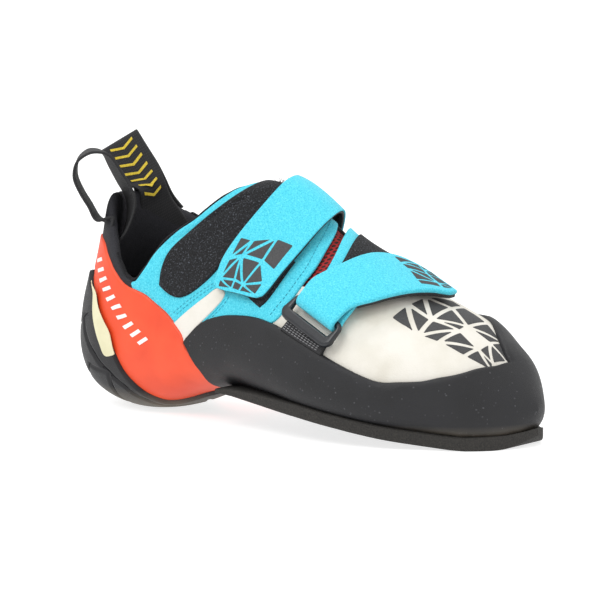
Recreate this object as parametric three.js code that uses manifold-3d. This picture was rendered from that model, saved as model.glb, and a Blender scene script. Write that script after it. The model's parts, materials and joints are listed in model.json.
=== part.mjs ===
// Climbing shoe for the right foot, two hook and loop straps, standing empty on its sole.
// Millimetres. X runs from heel to toe, Y towards the big toe side, Z up from the floor.
// Every curved piece follows one last: rings that start at the collar, turn round the heel
// and run on to the toe. A place on the last is (u, v): u counts rings from collar to toe,
// v goes once round a ring, 0 under the foot or up the heel, 0.25 on the outer side,
// 0.5 along the instep and 0.75 on the big toe side.

import * as THREE from 'three';
import { mergeVertices } from 'three/addons/utils/BufferGeometryUtils.js';
import Module from 'manifold-3d';

const wasm = await Module();
wasm.setup();
const { Manifold, Mesh } = wasm;

// Overall sizes of the last
const length = 240;
const ballWidth = 88;
const instepHeight = 103;
const heelHeight = 98;

// Thicknesses, each measured by itself
const upperWall = 2.2;
const tongueWall = 1.6;
const insoleWall = 1.6;
const soleWall = 4.6;
const soleEdge = 6;
const toeRandWall = 2;
const heelRandWall = 1.8;
const heelRubberWall = 3.8;
const webbing = 1.3;

// Straps and buckle
const strapWidth = 25;
const topStrapThickness = 2.4;
const lowerStrapThickness = 2.2;
const ringLength = 32;
const ringWire = 2.8;
const ringCorner = 2.6;
const ringSlack = 1.7;
const tabWidth = 24;
const loopWidth = 20;

// Clearances
const gap = 0.3;
const loopGap = 0.9;
const randLip = 0.4;

// The ring's two bars are so far apart that the strap and the webbing turn round them with
// some slack between
const barsApart = ringWire + 2 * gap + lowerStrapThickness + webbing + ringSlack;

// How far a cutting patch stands past the layer it cuts, and how far the throat's does
const spare = 1;
const throatDepth = 6;

// The last's underside at the forefoot lies this high, so that the sole stands on the floor
const stand = soleWall + gap;
const share = 0.01;

// Sections of the last, in hundredths: X of length, back Z of heelHeight above stand,
// front Z of instepHeight, Y of ballWidth. widest is where up the ring it is broadest,
// the two curves are the roundness of its lower and upper half (2 is an ellipse).
const lastRows = rows(
  ['backX', 'backZ', 'frontX', 'frontZ', 'centre', 'ridge', 'lateral', 'medial', 'widest', 'lowCurve', 'topCurve'],
  [
    [6.7, 104, 32.5, 117.5, 0, 2.3, 26, 26, 0.5, 2.1, 2.1],
    [5.4, 89, 34.6, 111.7, 0, 2.3, 28.5, 27.5, 0.5, 2.1, 2.1],
    [4.2, 70.5, 36.7, 106.8, 0, 2.3, 30.7, 29.5, 0.48, 2.1, 2.1],
    [2.5, 53, 38.8, 104.2, 0, 2.3, 32.4, 31.8, 0.46, 2.1, 2],
    [1, 36, 40.8, 103.8, 0, 3.4, 34, 34, 0.42, 2.1, 1.95],
    [1.3, 17.3, 43, 103.5, 0, 3.4, 36.3, 35.2, 0.4, 2.2, 1.9],
    [5.4, 4.6, 45.4, 102.4, 0, 4.5, 37.5, 36.4, 0.38, 2.4, 1.85],
    [13.8, -1.2, 48.3, 99.8, 0, 5.7, 38.6, 37, 0.36, 2.5, 1.85],
    [23.3, 0.4, 51.7, 94.9, -0.6, 6.8, 39.8, 37.5, 0.36, 2.5, 1.85],
    [32.5, 8.2, 55.4, 88.3, -1.7, 8, 41, 39.2, 0.36, 2.4, 1.85],
    [42.5, 13.6, 59.6, 81, -2.8, 9, 42.6, 40.3, 0.36, 2.6, 1.85],
    [52.5, 12.8, 64.6, 74.6, -4, 10, 45, 43.8, 0.36, 3.2, 1.9],
    [62.5, 9.9, 70, 68.8, -3.4, 11.4, 48.2, 47, 0.37, 4, 1.95],
    [71.7, 7.2, 75.8, 62, -1.1, 10.2, 49.4, 47.7, 0.38, 4.5, 2],
    [80, 4.4, 81.7, 55.9, 1.1, 9, 45.5, 45.5, 0.4, 4.5, 2.1],
    [87, 2, 87, 50.5, 4.5, 5.7, 38, 38.2, 0.42, 4.2, 2.2],
    [92.5, 0.5, 91.2, 43.5, 6.8, 3.4, 32, 31.2, 0.45, 3.8, 2.2],
    [96.2, 0.5, 94.6, 36.7, 8.5, 3.4, 24, 24, 0.48, 3.2, 2.2],
    [98.7, 3.2, 97.5, 27.2, 11.4, 1.1, 14.8, 14.2, 0.5, 2.6, 2.1],
    [99.8, 7, 99.2, 20.4, 12.5, 0.6, 7.4, 7.2, 0.5, 2, 2],
    [100.2, 11.6, 100.2, 16, 13, 0, 0, 0, 0.5, 2, 2],
  ],
);
const toeRing = lastRows.length - 1;
const lastUnits = {
  backX: length * share, frontX: length * share,
  backZ: heelHeight * share, frontZ: instepHeight * share,
  centre: ballWidth * share, ridge: ballWidth * share,
  lateral: ballWidth * share, medial: ballWidth * share,
  widest: 1, lowCurve: 1, topCurve: 1,
};

// How finely every form of the last is divided: the same for all, so that they nest.
// The heel, which turns sharply, has rings half as far apart as the rest. The toe is closed
// by a small ring, drawn halfway to a point just inside the tip.
const ringStep = 0.5;
const heelEnd = 8;
const ringPoints = 26;
const tipRing = { point: 0.3, ring: 0.2, drawn: 0.5 };

// Rim of the collar from heel to instep: X in hundredths of length, Z of heelHeight
const collarRim = rows(['x', 'lateral', 'medial'], [
  [-10, 104, 104],
  [3, 102, 102],
  [7, 101, 100.5],
  [10.5, 89, 96],
  [14, 74, 91.5],
  [17, 65, 87.5],
  [20, 62.2, 83],
  [23, 72, 81],
  [26, 82.5, 84],
  [29, 88, 91],
  [32, 92.5, 98.5],
  [35, 99.5, 105],
  [38, 107, 108],
  [42, 112, 112],
  [50, 125, 125],
]);

// The rim's two heights hold at this share of the ball width to each side
const rimHalfWidth = 0.3;

// Throat: the slot between the quarters where the tongue shows, from collar to vamp,
// a row for each step down the instep, with the (u, v) of its two edges
const throat = rows(['u1', 'v1', 'u2', 'v2'], [
  [0, 0.56, 0, 0.62],
  [2.5, 0.565, 2.5, 0.62],
  [5, 0.565, 5.2, 0.615],
  [7.2, 0.556, 8, 0.6],
  [8.8, 0.535, 9.9, 0.57],
  [9.9, 0.443, 11.3, 0.5],
  [10.33, 0.401, 11.45, 0.418],
  [10.5, 0.365, 10.9, 0.37],
]);

// The tongue lies under the throat's edges by this share of a ring, and reaches under the
// vamp by the other two
const tongueMargin = 0.035;
const tongueToe = { back: 0.1, ahead: 0.5 };

// Insole: from under the heel to under the toes, this far to both sides
const insoleLies = { from: 6, to: 17.25, reach: 0.085 };

// Openings under the foot, which the sole and the heel rubber close
const underOpenings = [
  { from: 6.6, to: 8.2, reach: 0.05 },
  { from: 11.4, to: 17, reach: 0.06 },
];

// Toe rand: lower and upper edge on the outer side, then on the big toe side
const randOuter = rows(['u', 'low', 'high'], [
  [8.15, 0.246, 0.254],
  [8.33, 0.236, 0.275],
  [8.71, 0.214, 0.282],
  [9.24, 0.164, 0.287],
  [9.5, 0.06, 0.289],
  [9.7, -0.02, 0.29],
  [10.33, -0.02, 0.293],
  [10.8, 0.04, 0.293],
  [12.24, 0.05, 0.276],
  [12.9, 0.05, 0.267],
  [13.81, 0.05, 0.253],
  [14.95, 0.05, 0.271],
  [15.38, 0.05, 0.288],
  [16.43, 0.05, 0.349],
  [17.05, 0.05, 0.411],
  [17.28, 0.05, 0.482],
]);
const randInner = rows(['u', 'low', 'high'], [
  [8.4, 0.255, 0.262],
  [8.8, 0.2, 0.27],
  [9.24, 0.15, 0.275],
  [9.5, 0.06, 0.28],
  [9.7, -0.02, 0.283],
  [10.33, -0.02, 0.288],
  [10.8, 0.04, 0.292],
  [12, 0.05, 0.315],
  [13, 0.05, 0.345],
  [14, 0.05, 0.382],
  [15, 0.05, 0.43],
  [16, 0.05, 0.472],
  [16.8, 0.05, 0.504],
  [17.36, 0.05, 0.53],
]);

// From this ring on the rand covers the whole toe
const toeCap = 17.09;

// Heel rand and heel rubber: the rand lies between low and high, the rubber below low
const heelRandRows = rows(['u', 'low', 'high'], [
  [1.8, 0, 0.12],
  [2.33, 0, 0.157],
  [2.8, 0, 0.18],
  [2.95, 0.13, 0.187],
  [3.6, 0.152, 0.212],
  [4.24, 0.185, 0.236],
  [5.09, 0.204, 0.262],
  [5.7, 0.21, 0.274],
  [6.33, 0.197, 0.278],
  [6.81, 0.176, 0.277],
  [7.28, 0.149, 0.271],
  [7.71, 0.111, 0.262],
  [8, 0.078, 0.25],
  [8.48, 0.052, 0.223],
  [8.95, 0.041, 0.181],
  [9.2, 0.036, 0.15],
  [9.42, 0.032, 0.055],
]);
const heelRubberRows = rows(['u', 'edge'], [
  [2.95, 0.11],
  [3.6, 0.145],
  [4.24, 0.178],
  [5.09, 0.197],
  [5.7, 0.203],
  [6.33, 0.19],
  [6.81, 0.169],
  [7.28, 0.142],
  [7.71, 0.104],
  [8, 0.07],
  [8.48, 0.044],
  [8.95, 0.033],
  [9.2, 0.028],
]);

// The heel rand's top edge crosses the back of the heel this far to both sides
const backReach = 0.09;

// Sole: X in hundredths of length, underside in hundredths of heelHeight, edge as a share of soleEdge
const soleRows = rows(['x', 'under', 'edge'], [
  [41, 15.4, 0.35],
  [45, 15, 0.6],
  [52, 13.3, 0.85],
  [62.5, 10.4, 1],
  [71.7, 7.4, 1],
  [80, 4.2, 1],
  [87, 1.7, 1],
  [91, 0.5, 1],
  [93.5, 0, 1],
  [98.5, 0, 1.05],
  [100.4, 0.9, 1.1],
  [102.5, 3.4, 1.1],
]);
const soleOutline = { from: 10, to: 19, v: 0.15 };

// Straps: (u, v) of the rear and front edge and the height of the underside over the last
const topStrapRows = rows(['u1', 'v1', 'u2', 'v2', 'height'], [
  [8.6, 0.318, 9.4, 0.318, 2.6],
  [8.0, 0.321, 9.85, 0.321, 2.6],
  [7.75, 0.33, 9.93, 0.332, 2.6],
  [7.4, 0.352, 9.85, 0.362, 2.8],
  [7.15, 0.382, 9.7, 0.4, 3.1],
  [6.85, 0.43, 9.4, 0.45, 4.4],
  [6.5, 0.475, 9.1, 0.495, 5.4],
  [6.25, 0.52, 8.9, 0.53, 5.4],
  [6.15, 0.56, 8.8, 0.565, 3.8],
  [6.1, 0.61, 8.75, 0.61, 1.8],
  [6.1, 0.66, 8.7, 0.66, 0.6],
  [6.1, 0.71, 8.65, 0.7, 0.6],
]);
const strapBaseRows = rows(['u1', 'v1', 'u2', 'v2', 'height'], [
  [9, 0.7, 10.8, 0.695, 0.6],
  [9.05, 0.65, 10.9, 0.65, 0.8],
  [9.15, 0.6, 11.1, 0.6, 1.2],
  [9.4, 0.545, 11.4, 0.55, 1.6],
  [10, 0.48, 11.85, 0.49, 1.6],
  [10.6, 0.43, 12.2, 0.435, 1.3],
  [10.95, 0.385, 12.42, 0.38, 1],
  [10.98, 0.355, 12.45, 0.345, 0.9],
]);
const strapReturnRows = rows(['u1', 'v1', 'u2', 'v2', 'height'], [
  [10.98, 0.372, 12.5, 0.352, 6],
  [11.06, 0.39, 12.62, 0.368, 6],
  [11.2, 0.417, 12.85, 0.387, 5.8],
  [11.3, 0.45, 13.1, 0.414, 5.6],
  [11.42, 0.48, 13.35, 0.446, 5.2],
  [11.7, 0.512, 13.6, 0.478, 4.8],
  [12.1, 0.535, 13.85, 0.505, 4.4],
  [12.6, 0.548, 13.8, 0.528, 4.2],
]);

// How many parts a strap, a loop's webbing and a turn round a bar are divided into
const strapParts = 3;
const loopParts = 5;
const bendSteps = 6;

// Buckle ring: where its middle lies, and the two places that its bars run between
const ringPlace = { u: 11.75, v: 0.322, fromU: 11, fromV: 0.332, toU: 12.5, toV: 0.313 };
const tabEnd = { u1: 11.05, v1: 0.297, u2: 12.4, v2: 0.28 };

// The tab's outer end comes back over the bar by these degrees more than half a turn
const tabOverlap = 30;

// Pull loops: the legs lie on the collar's wall, the rest of each stands in a plane that
// looks this many degrees towards the outer side, in millimetres from where the loop begins
const loopTurn = 38;
const outerLoop = {
  start: { u: 1.7, v: 0.1 },
  outside: rows(['u1', 'v1', 'u2', 'v2'], [
    [1.62, 0.157, 1.58, 0.043],
    [1.4, 0.157, 1.4, 0.043],
  ]),
  inside: rows(['u1', 'v1', 'u2', 'v2'], [
    [3, 0.157, 3, 0.043],
    [2.4, 0.157, 2.4, 0.043],
  ]),
  open: rows(['across', 'up', 'turn'], [
    [-4.8, 5.5, 0],
    [-8.6, 12, 0],
    [-12.5, 18.5, 0],
    [-15.2, 25.4, 0],
    [-14.2, 32.3, -2],
    [-9.8, 36.4, -6],
    [-5.2, 37.2, -10],
    [-0.6, 35.5, -14],
    [3.3, 29, -18],
    [7.2, 22.2, -20],
    [10.4, 15.2, -16],
    [10.4, 8, -10],
    [8, 0, -4],
  ]),
};
const innerLoop = {
  start: { u: 0.57, v: 0.914 },
  outside: rows(['u1', 'v1', 'u2', 'v2'], [
    [1.72, 0.915, 1.55, 0.82],
    [1.2, 0.935, 1, 0.845],
    [0.5, 0.955, 0.35, 0.865],
  ]),
  inside: rows(['u1', 'v1', 'u2', 'v2'], [
    [2.4, 0.88, 2.3, 0.79],
    [1.72, 0.915, 1.55, 0.82],
    [1.2, 0.935, 1, 0.845],
    [0.5, 0.955, 0.35, 0.865],
  ]),
  flat: rows(['across', 'up', 'away', 'apart', 'lean'], [
    [-3.8, 7, 1, 1.8, 29],
    [-8.6, 14.6, 2.4, 1.1, 31],
    [-13, 21.6, 4, 1, 31],
  ]),
};

// A table of named columns becomes one object for each row
function rows(columns, cells) {
  return cells.map((row) => Object.fromEntries(columns.map((name, k) => [name, row[k]])));
}

function mix(a, b, t) {
  return a + (b - a) * t;
}

// A row of a table at a place between its rows, straight from one to the next
function between(table, key, place) {
  const last = table.length - 1;
  let k = 0;
  while (k < last - 1 && table[k + 1][key] <= place) k += 1;
  const t = THREE.MathUtils.clamp((place - table[k][key]) / (table[k + 1][key] - table[k][key]), 0, 1);
  const found = {};
  for (const name of Object.keys(table[k])) found[name] = mix(table[k][name], table[k + 1][name], t);
  return found;
}

// One section of the last, smooth from ring to ring, in millimetres
function section(u) {
  const place = THREE.MathUtils.clamp(u, 0, toeRing);
  const k = Math.min(Math.floor(place), toeRing - 1);
  const t = place - k;
  const ring = {};
  for (const name of Object.keys(lastUnits)) {
    const a = lastRows[k][name];
    const b = lastRows[k + 1][name];
    const slopeA = k > 0 ? (b - lastRows[k - 1][name]) / 2 : b - a;
    const slopeB = k < toeRing - 1 ? (lastRows[k + 2][name] - a) / 2 : b - a;
    const t2 = t * t;
    const t3 = t2 * t;
    const start = (2 * t3 - 3 * t2 + 1) * a + (t3 - 2 * t2 + t) * slopeA;
    const cubic = start + (3 * t2 - 2 * t3) * b + (t3 - t2) * slopeB;
    ring[name] = cubic * lastUnits[name];
  }
  ring.backZ += stand;
  return ring;
}

function surface(u, v) {
  const ring = section(u);
  const angle = v * 2 * Math.PI;
  const rise = -Math.cos(angle);
  const side = Math.sin(angle);
  const curve = rise < 0 ? ring.lowCurve : ring.topCurve;
  const up = Math.sign(rise) * Math.abs(rise) ** (2 / curve);
  const out = Math.sign(side) * Math.abs(side) ** (2 / curve);
  const along = rise < 0 ? ring.widest * (1 + up) : ring.widest + (1 - ring.widest) * up;
  const half = side > 0 ? ring.lateral : ring.medial;
  return new THREE.Vector3(
    mix(ring.backX, ring.frontX, along),
    ring.centre + ring.ridge * along - half * out,
    mix(ring.backZ, ring.frontZ, along),
  );
}

function outward(u, v) {
  const step = 0.002;
  const alongLast = surface(u + step, v).sub(surface(u - step, v));
  const roundRing = surface(u, v + step).sub(surface(u, v - step));
  return alongLast.cross(roundRing).normalize();
}

// A place on the last, or at a distance off it: minus is inside
function place(u, v, off = 0) {
  return surface(u, v).addScaledVector(outward(u, v), off);
}

// Closed meshes as solids
function asSolid(positions, triangles) {
  const geometry = new THREE.BufferGeometry();
  const numbers = positions.flatMap((p) => p.toArray());
  geometry.setAttribute('position', new THREE.Float32BufferAttribute(numbers, 3));
  geometry.setIndex(triangles.flat());
  return solidOf(geometry);
}

function solidOf(geometry) {
  const bare = geometry.clone();
  bare.deleteAttribute('normal');
  bare.deleteAttribute('uv');
  const merged = mergeVertices(bare, 1e-4);
  const corners = merged.index.array;
  const kept = [];
  for (let k = 0; k < corners.length; k += 3) {
    const [a, b, c] = corners.subarray(k, k + 3);
    if (a !== b && b !== c && c !== a) kept.push(a, b, c);
  }
  return new Manifold(new Mesh({
    numProp: 3,
    vertProperties: Float32Array.from(merged.attributes.position.array),
    triVerts: Uint32Array.from(kept),
  }));
}

function rightWayOut(positions, triangles) {
  const solid = asSolid(positions, triangles);
  if (solid.volume() > 0) return solid;
  return asSolid(positions, triangles.map(([a, b, c]) => [a, c, b]));
}

// A tube of rings, closed at both ends by a fan round the middle of its first and last ring
function tube(rings) {
  const count = rings[0].length;
  const points = rings.flat();
  const faces = [];
  for (let r = 0; r + 1 < rings.length; r += 1) {
    for (let k = 0; k < count; k += 1) {
      const a = r * count + k;
      const b = r * count + ((k + 1) % count);
      faces.push([a, b, b + count], [a, b + count, a + count]);
    }
  }
  for (const [first, turn] of [[0, false], [(rings.length - 1) * count, true]]) {
    const middle = new THREE.Vector3();
    for (let k = 0; k < count; k += 1) middle.addScaledVector(points[first + k], 1 / count);
    points.push(middle);
    for (let k = 0; k < count; k += 1) {
      const a = first + k;
      const b = first + ((k + 1) % count);
      faces.push(turn ? [a, b, points.length - 1] : [b, a, points.length - 1]);
    }
  }
  return rightWayOut(points, faces);
}

// The last made larger or smaller all round, from one ring on to the toe
function lastForm(off, fromRing = 0) {
  const rings = [];
  for (let u = fromRing; u < toeRing; u += u < heelEnd ? ringStep : 1) {
    rings.push(Array.from({ length: ringPoints }, (_, k) => place(u, k / ringPoints, off)));
  }
  const beforeTip = toeRing - tipRing.point;
  const tip = place(beforeTip, 0.25, off).add(place(beforeTip, 0.75, off)).multiplyScalar(0.5);
  rings.push(Array.from({ length: ringPoints }, (_, k) => {
    return place(toeRing - tipRing.ring, k / ringPoints, off).lerp(tip, tipRing.drawn);
  }));
  return tube(rings);
}

// The layer between two forms of the last
function layer(inner, outer) {
  return lastForm(outer).subtract(lastForm(inner));
}

// A patch of the last as a solid between two distances off it, to cut other forms with.
// Each row holds the (u, v) of its two ends.
function patch(ends, inner, outer, across = 8) {
  const rings = ends.map(({ u1, v1, u2, v2 }) => {
    const line = (off) => Array.from({ length: across + 1 }, (_, k) => {
      const t = k / across;
      return place(mix(u1, u2, t), mix(v1, v2, t), off);
    });
    return [...line(outer), ...line(inner).reverse()];
  });
  return tube(rings);
}

// Patch rows that follow the rings, from one edge to the other, on the outer or big toe side
function bandRows(table, side) {
  const places = [];
  for (let k = 0; k + 1 < table.length; k += 1) {
    const from = table[k].u;
    const to = table[k + 1].u;
    const steps = Math.max(1, Math.round((to - from) / ringStep));
    for (let s = 0; s < steps; s += 1) places.push(mix(from, to, s / steps));
  }
  places.push(table[table.length - 1].u);
  return places.map((u) => {
    const { low, high } = between(table, 'u', u);
    if (side === 'outer') return { u1: u, v1: low, u2: u, v2: high };
    return { u1: u, v1: 1 - low, u2: u, v2: 1 - high };
  });
}

// A ribbon of even thickness: each row holds points across it and the way its face looks
function ribbon(stations, thickness) {
  return tube(stations.map(({ points, faces }) => {
    const top = points.map((p, k) => p.clone().addScaledVector(faces[k], thickness / 2));
    const bottom = points.map((p, k) => p.clone().addScaledVector(faces[k], -thickness / 2));
    return [...top, ...bottom.reverse()];
  }));
}

function strapStations(table, thickness, parts = strapParts) {
  return table.map(({ u1, v1, u2, v2, height }) => {
    const places = Array.from({ length: parts + 1 }, (_, k) => {
      const t = k / parts;
      return [mix(u1, u2, t), mix(v1, v2, t)];
    });
    return {
      points: places.map(([u, v]) => place(u, v, height + thickness / 2)),
      faces: places.map(([u, v]) => outward(u, v)),
    };
  });
}

// Solid between two heights that change along the shoe, straight across it
function slab(lower, upper, halfDepth) {
  const around = [...lower, ...upper.slice().reverse()];
  const outline = new THREE.Shape(around.map(([x, z]) => new THREE.Vector2(x, z)));
  const geometry = new THREE.ExtrudeGeometry(outline, { depth: 2 * halfDepth, bevelEnabled: false });
  geometry.rotateX(Math.PI / 2);
  geometry.translate(0, halfDepth, 0);
  return solidOf(geometry);
}

// Everything above the collar's rim, to be cut away
function aboveCollar() {
  const side = rimHalfWidth * ballWidth;
  const top = 2 * heelHeight;
  const rings = collarRim.map(({ x, lateral, medial }) => {
    const across = [-2, -1, -0.5, 0, 0.5, 1, 2];
    const rim = across.map((k) => {
      const t = THREE.MathUtils.clamp((k + 1) / 2, 0, 1);
      return new THREE.Vector3(x * share * length, k * side, mix(lateral, medial, t) * share * heelHeight);
    });
    const lid = across.map((k) => new THREE.Vector3(x * share * length, k * side, top));
    return [...rim, ...lid.reverse()];
  });
  return tube(rings);
}

function makeUpper() {
  let upper = layer(-upperWall, 0).subtract(aboveCollar());
  upper = upper.subtract(patch(throat, -upperWall - spare, throatDepth));
  for (const { from, to, reach } of underOpenings) {
    const cut = [];
    for (let u = from; u < to + ringStep / 2; u += ringStep) {
      cut.push({ u1: u, v1: -reach, u2: u, v2: reach });
    }
    upper = upper.subtract(patch(cut, -upperWall - spare, spare));
  }
  return upper;
}

function makeTongue() {
  const under = -upperWall - gap;
  const wider = throat.slice(0, -1).map(({ u1, v1, u2, v2 }) => ({
    u1: u1 - tongueMargin, v1: v1 - tongueMargin, u2: u2 + tongueMargin, v2: v2 + tongueMargin,
  }));
  const end = throat[throat.length - 1];
  wider.push({
    u1: end.u1 - tongueToe.back, v1: end.v1 - tongueMargin,
    u2: end.u2 + tongueToe.ahead, v2: end.v2 - tongueMargin / 2,
  });
  const within = patch(wider, under - tongueWall - spare, throatDepth);
  const tongue = layer(under - tongueWall, under).intersect(within);
  return tongue.subtract(aboveCollar());
}

function makeInsole() {
  const under = -upperWall - gap;
  const { from, to, reach } = insoleLies;
  const lies = [];
  for (let u = from; u < to; u += ringStep) lies.push({ u1: u, v1: -reach, u2: u, v2: reach });
  return layer(under - insoleWall, under).intersect(patch(lies, under - insoleWall - spare, under + spare));
}

// The sole's outline is the toe rand's, seen from above, a little proud of it
function soleLines() {
  const lower = soleRows.map(({ x, under }) => [x * share * length, under * share * heelHeight]);
  const upper = soleRows.map(({ x, under, edge }) => {
    return [x * share * length, under * share * heelHeight + edge * soleEdge];
  });
  return { lower, upper };
}

function makeOutsole() {
  const off = gap + toeRandWall + randLip;
  const edge = { outer: [], inner: [] };
  for (let u = soleOutline.from; u <= soleOutline.to; u += ringStep) {
    edge.outer.push(place(u, soleOutline.v, off));
    edge.inner.push(place(u, 1 - soleOutline.v, off));
  }
  const around = [...edge.outer, ...edge.inner.reverse()];
  const outline = new THREE.Shape(around.map((p) => new THREE.Vector2(p.x, p.y)));
  const prism = new THREE.ExtrudeGeometry(outline, { depth: heelHeight, bevelEnabled: false });
  prism.translate(0, 0, -heelHeight / 2);
  const { lower, upper } = soleLines();
  return slab(lower, upper, ballWidth).intersect(solidOf(prism)).subtract(lastForm(gap));
}

// Where the sole stands, with its clearance, for the rand to stop above
function soleRoom() {
  const { lower, upper } = soleLines();
  const sunk = lower.map(([x]) => [x, -heelHeight]);
  return slab(sunk, upper.map(([x, z]) => [x, z + gap]), ballWidth);
}

function makeToeRand() {
  const reach = [gap - spare, gap + toeRandWall + spare];
  const cover = patch(bandRows(randOuter, 'outer'), ...reach)
    .add(patch(bandRows(randInner, 'inner'), ...reach))
    .add(lastForm(gap + toeRandWall + spare, toeCap));
  return layer(gap, gap + toeRandWall).intersect(cover).subtract(soleRoom());
}

function makeHeelRand() {
  const reach = [gap - spare, gap + heelRandWall + spare];
  const back = heelRandRows.slice(0, 3).map(({ u }) => ({ u1: u, v1: -backReach, u2: u, v2: backReach }));
  const cover = patch(bandRows(heelRandRows, 'outer'), ...reach)
    .add(patch(bandRows(heelRandRows, 'inner'), ...reach))
    .add(patch(back, ...reach));
  return layer(gap, gap + heelRandWall).intersect(cover).subtract(aboveCollar());
}

// The heel rubber is ground flat where the heel stands
function makeHeelRubber() {
  const reach = [gap - spare, gap + heelRubberWall + spare];
  const cover = bandRows(heelRubberRows.map(({ u, edge }) => ({ u, low: -edge, high: edge })), 'outer');
  const below = slab([[-length, -heelHeight], [length, -heelHeight]], [[-length, 0], [length, 0]], ballWidth);
  return layer(gap, gap + heelRubberWall).intersect(patch(cover, ...reach)).subtract(below);
}

function makeTopStrap() {
  return ribbon(strapStations(topStrapRows, topStrapThickness), topStrapThickness);
}

// The other face of a ribbon becomes its outer one
function turnedOver(stations) {
  return stations.map(({ points, faces }) => ({ points, faces: faces.map((face) => face.clone().negate()) }));
}

// Frame of the buckle: along its bars, up the shoe's side, and out from it. The ring lies
// clear of the strap that passes under its upper bar.
function ringFrame() {
  const lift = gap + lowerStrapThickness + gap + ringWire / 2;
  const origin = place(ringPlace.u, ringPlace.v, lift);
  const out = outward(ringPlace.u, ringPlace.v);
  const along = place(ringPlace.toU, ringPlace.toV).sub(place(ringPlace.fromU, ringPlace.fromV));
  along.addScaledVector(out, -along.dot(out)).normalize();
  const up = out.clone().cross(along).normalize();
  if (up.z < 0) up.negate();
  const at = (a, b, c) => {
    return origin.clone().addScaledVector(along, a).addScaledVector(up, b).addScaledVector(out, c);
  };
  return { up, out, at };
}

// Rows of a ribbon that turns round a bar of the ring, from its inner side to its outer side,
// half a turn or some degrees more
function turnRound(bar, width, thickness, way, more = 0) {
  const { up, out, at } = ringFrame();
  const radius = ringWire / 2 + gap + thickness / 2;
  return Array.from({ length: bendSteps + 1 }, (_, k) => {
    const angle = THREE.MathUtils.degToRad(mix(0, 180 + more, k / bendSteps));
    const face = up.clone().multiplyScalar(way * Math.sin(angle)).addScaledVector(out, -Math.cos(angle));
    const points = Array.from({ length: strapParts + 1 }, (_, j) => {
      const along = mix(-width / 2, width / 2, j / strapParts);
      return at(along, bar + way * radius * Math.sin(angle), -radius * Math.cos(angle));
    });
    return { points, faces: points.map(() => face) };
  });
}

// One ribbon: over the instep, round the ring's upper bar and back over itself
function makeLowerStrap() {
  const base = turnedOver(strapStations(strapBaseRows, lowerStrapThickness));
  const turn = turnRound(barsApart / 2, strapWidth, lowerStrapThickness, -1);
  const back = strapStations(strapReturnRows, lowerStrapThickness);
  return ribbon([...base, ...turn, ...back], lowerStrapThickness);
}

function makeBuckleRing() {
  const { at } = ringFrame();
  const halfLength = (ringLength - ringWire) / 2;
  const halfReach = barsApart / 2;
  const corners = [[1, 1, 0], [-1, 1, 90], [-1, -1, 180], [1, -1, 270]];
  const cornerSteps = 3;
  const path = corners.flatMap(([a, b, start]) => Array.from({ length: cornerSteps + 1 }, (_, k) => {
    const angle = THREE.MathUtils.degToRad(start + k * 90 / cornerSteps);
    return [
      a * (halfLength - ringCorner) + ringCorner * Math.cos(angle),
      b * (halfReach - ringCorner) + ringCorner * Math.sin(angle),
    ];
  }));
  const wireSides = 6;
  const points = [];
  const faces = [];
  path.forEach(([a, b], k) => {
    const before = path[(k + path.length - 1) % path.length];
    const after = path[(k + 1) % path.length];
    const way = new THREE.Vector2(after[0] - before[0], after[1] - before[1]).normalize();
    for (let j = 0; j < wireSides; j += 1) {
      const angle = (j / wireSides) * 2 * Math.PI;
      const outside = (ringWire / 2) * Math.cos(angle);
      points.push(at(a + way.y * outside, b - way.x * outside, (ringWire / 2) * Math.sin(angle)));
      const next = (j + 1) % wireSides;
      const from = k * wireSides;
      const to = ((k + 1) % path.length) * wireSides;
      faces.push([from + j, from + next, to + next], [from + j, to + next, to + j]);
    }
  });
  return rightWayOut(points, faces);
}

// The tab turns round the ring's lower bar and both its ends lie on the upper above the rand
function makeBuckleTab() {
  const leg = (height) => strapStations([{ ...tabEnd, height }], webbing);
  const turn = turnRound(-barsApart / 2, tabWidth, webbing, 1, tabOverlap);
  return ribbon([...turnedOver(leg(gap)), ...turn, ...leg(gap + webbing + gap)], webbing);
}

// The leg of a pull loop on the collar's wall, from its end up to the rim
function loopLeg(table, height) {
  return strapStations(table.map((row) => ({ ...row, height })), webbing, loopParts);
}

function insideLeg(table) {
  return turnedOver(loopLeg(table, -upperWall - loopGap - webbing)).reverse();
}

// Frame of a pull loop: across it, away through it, and up
function loopFrame({ u, v }) {
  const angle = THREE.MathUtils.degToRad(loopTurn);
  const across = new THREE.Vector3(Math.cos(angle), Math.sin(angle), 0);
  const away = new THREE.Vector3(-Math.sin(angle), Math.cos(angle), 0);
  const up = new THREE.Vector3(0, 0, 1);
  const origin = place(u, v, -upperWall / 2);
  const at = (a, b, c) => {
    return origin.clone().addScaledVector(across, a).addScaledVector(up, b).addScaledVector(away, c);
  };
  return { across, away, up, at };
}

function acrossStation(middle, side, face) {
  const points = Array.from({ length: loopParts + 1 }, (_, k) => {
    return middle.clone().addScaledVector(side, (k / loopParts - 0.5) * loopWidth);
  });
  return { points, faces: points.map(() => face) };
}

// This loop stands open, its webbing edge on to its plane
function makeOuterLoop() {
  const { across, away, up, at } = loopFrame(outerLoop.start);
  const table = outerLoop.open;
  const open = table.map((row, k) => {
    const before = table[Math.max(k - 1, 0)];
    const after = table[Math.min(k + 1, table.length - 1)];
    const way = new THREE.Vector2(after.across - before.across, after.up - before.up).normalize();
    const along = across.clone().multiplyScalar(way.x).addScaledVector(up, way.y);
    const turn = THREE.MathUtils.degToRad(row.turn);
    const side = away.clone().multiplyScalar(Math.cos(turn)).addScaledVector(across, Math.sin(turn));
    return acrossStation(at(row.across, row.up, 0), side, along.cross(away).normalize());
  });
  return ribbon([...loopLeg(outerLoop.outside, loopGap), ...open, ...insideLeg(outerLoop.inside)], webbing);
}

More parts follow.
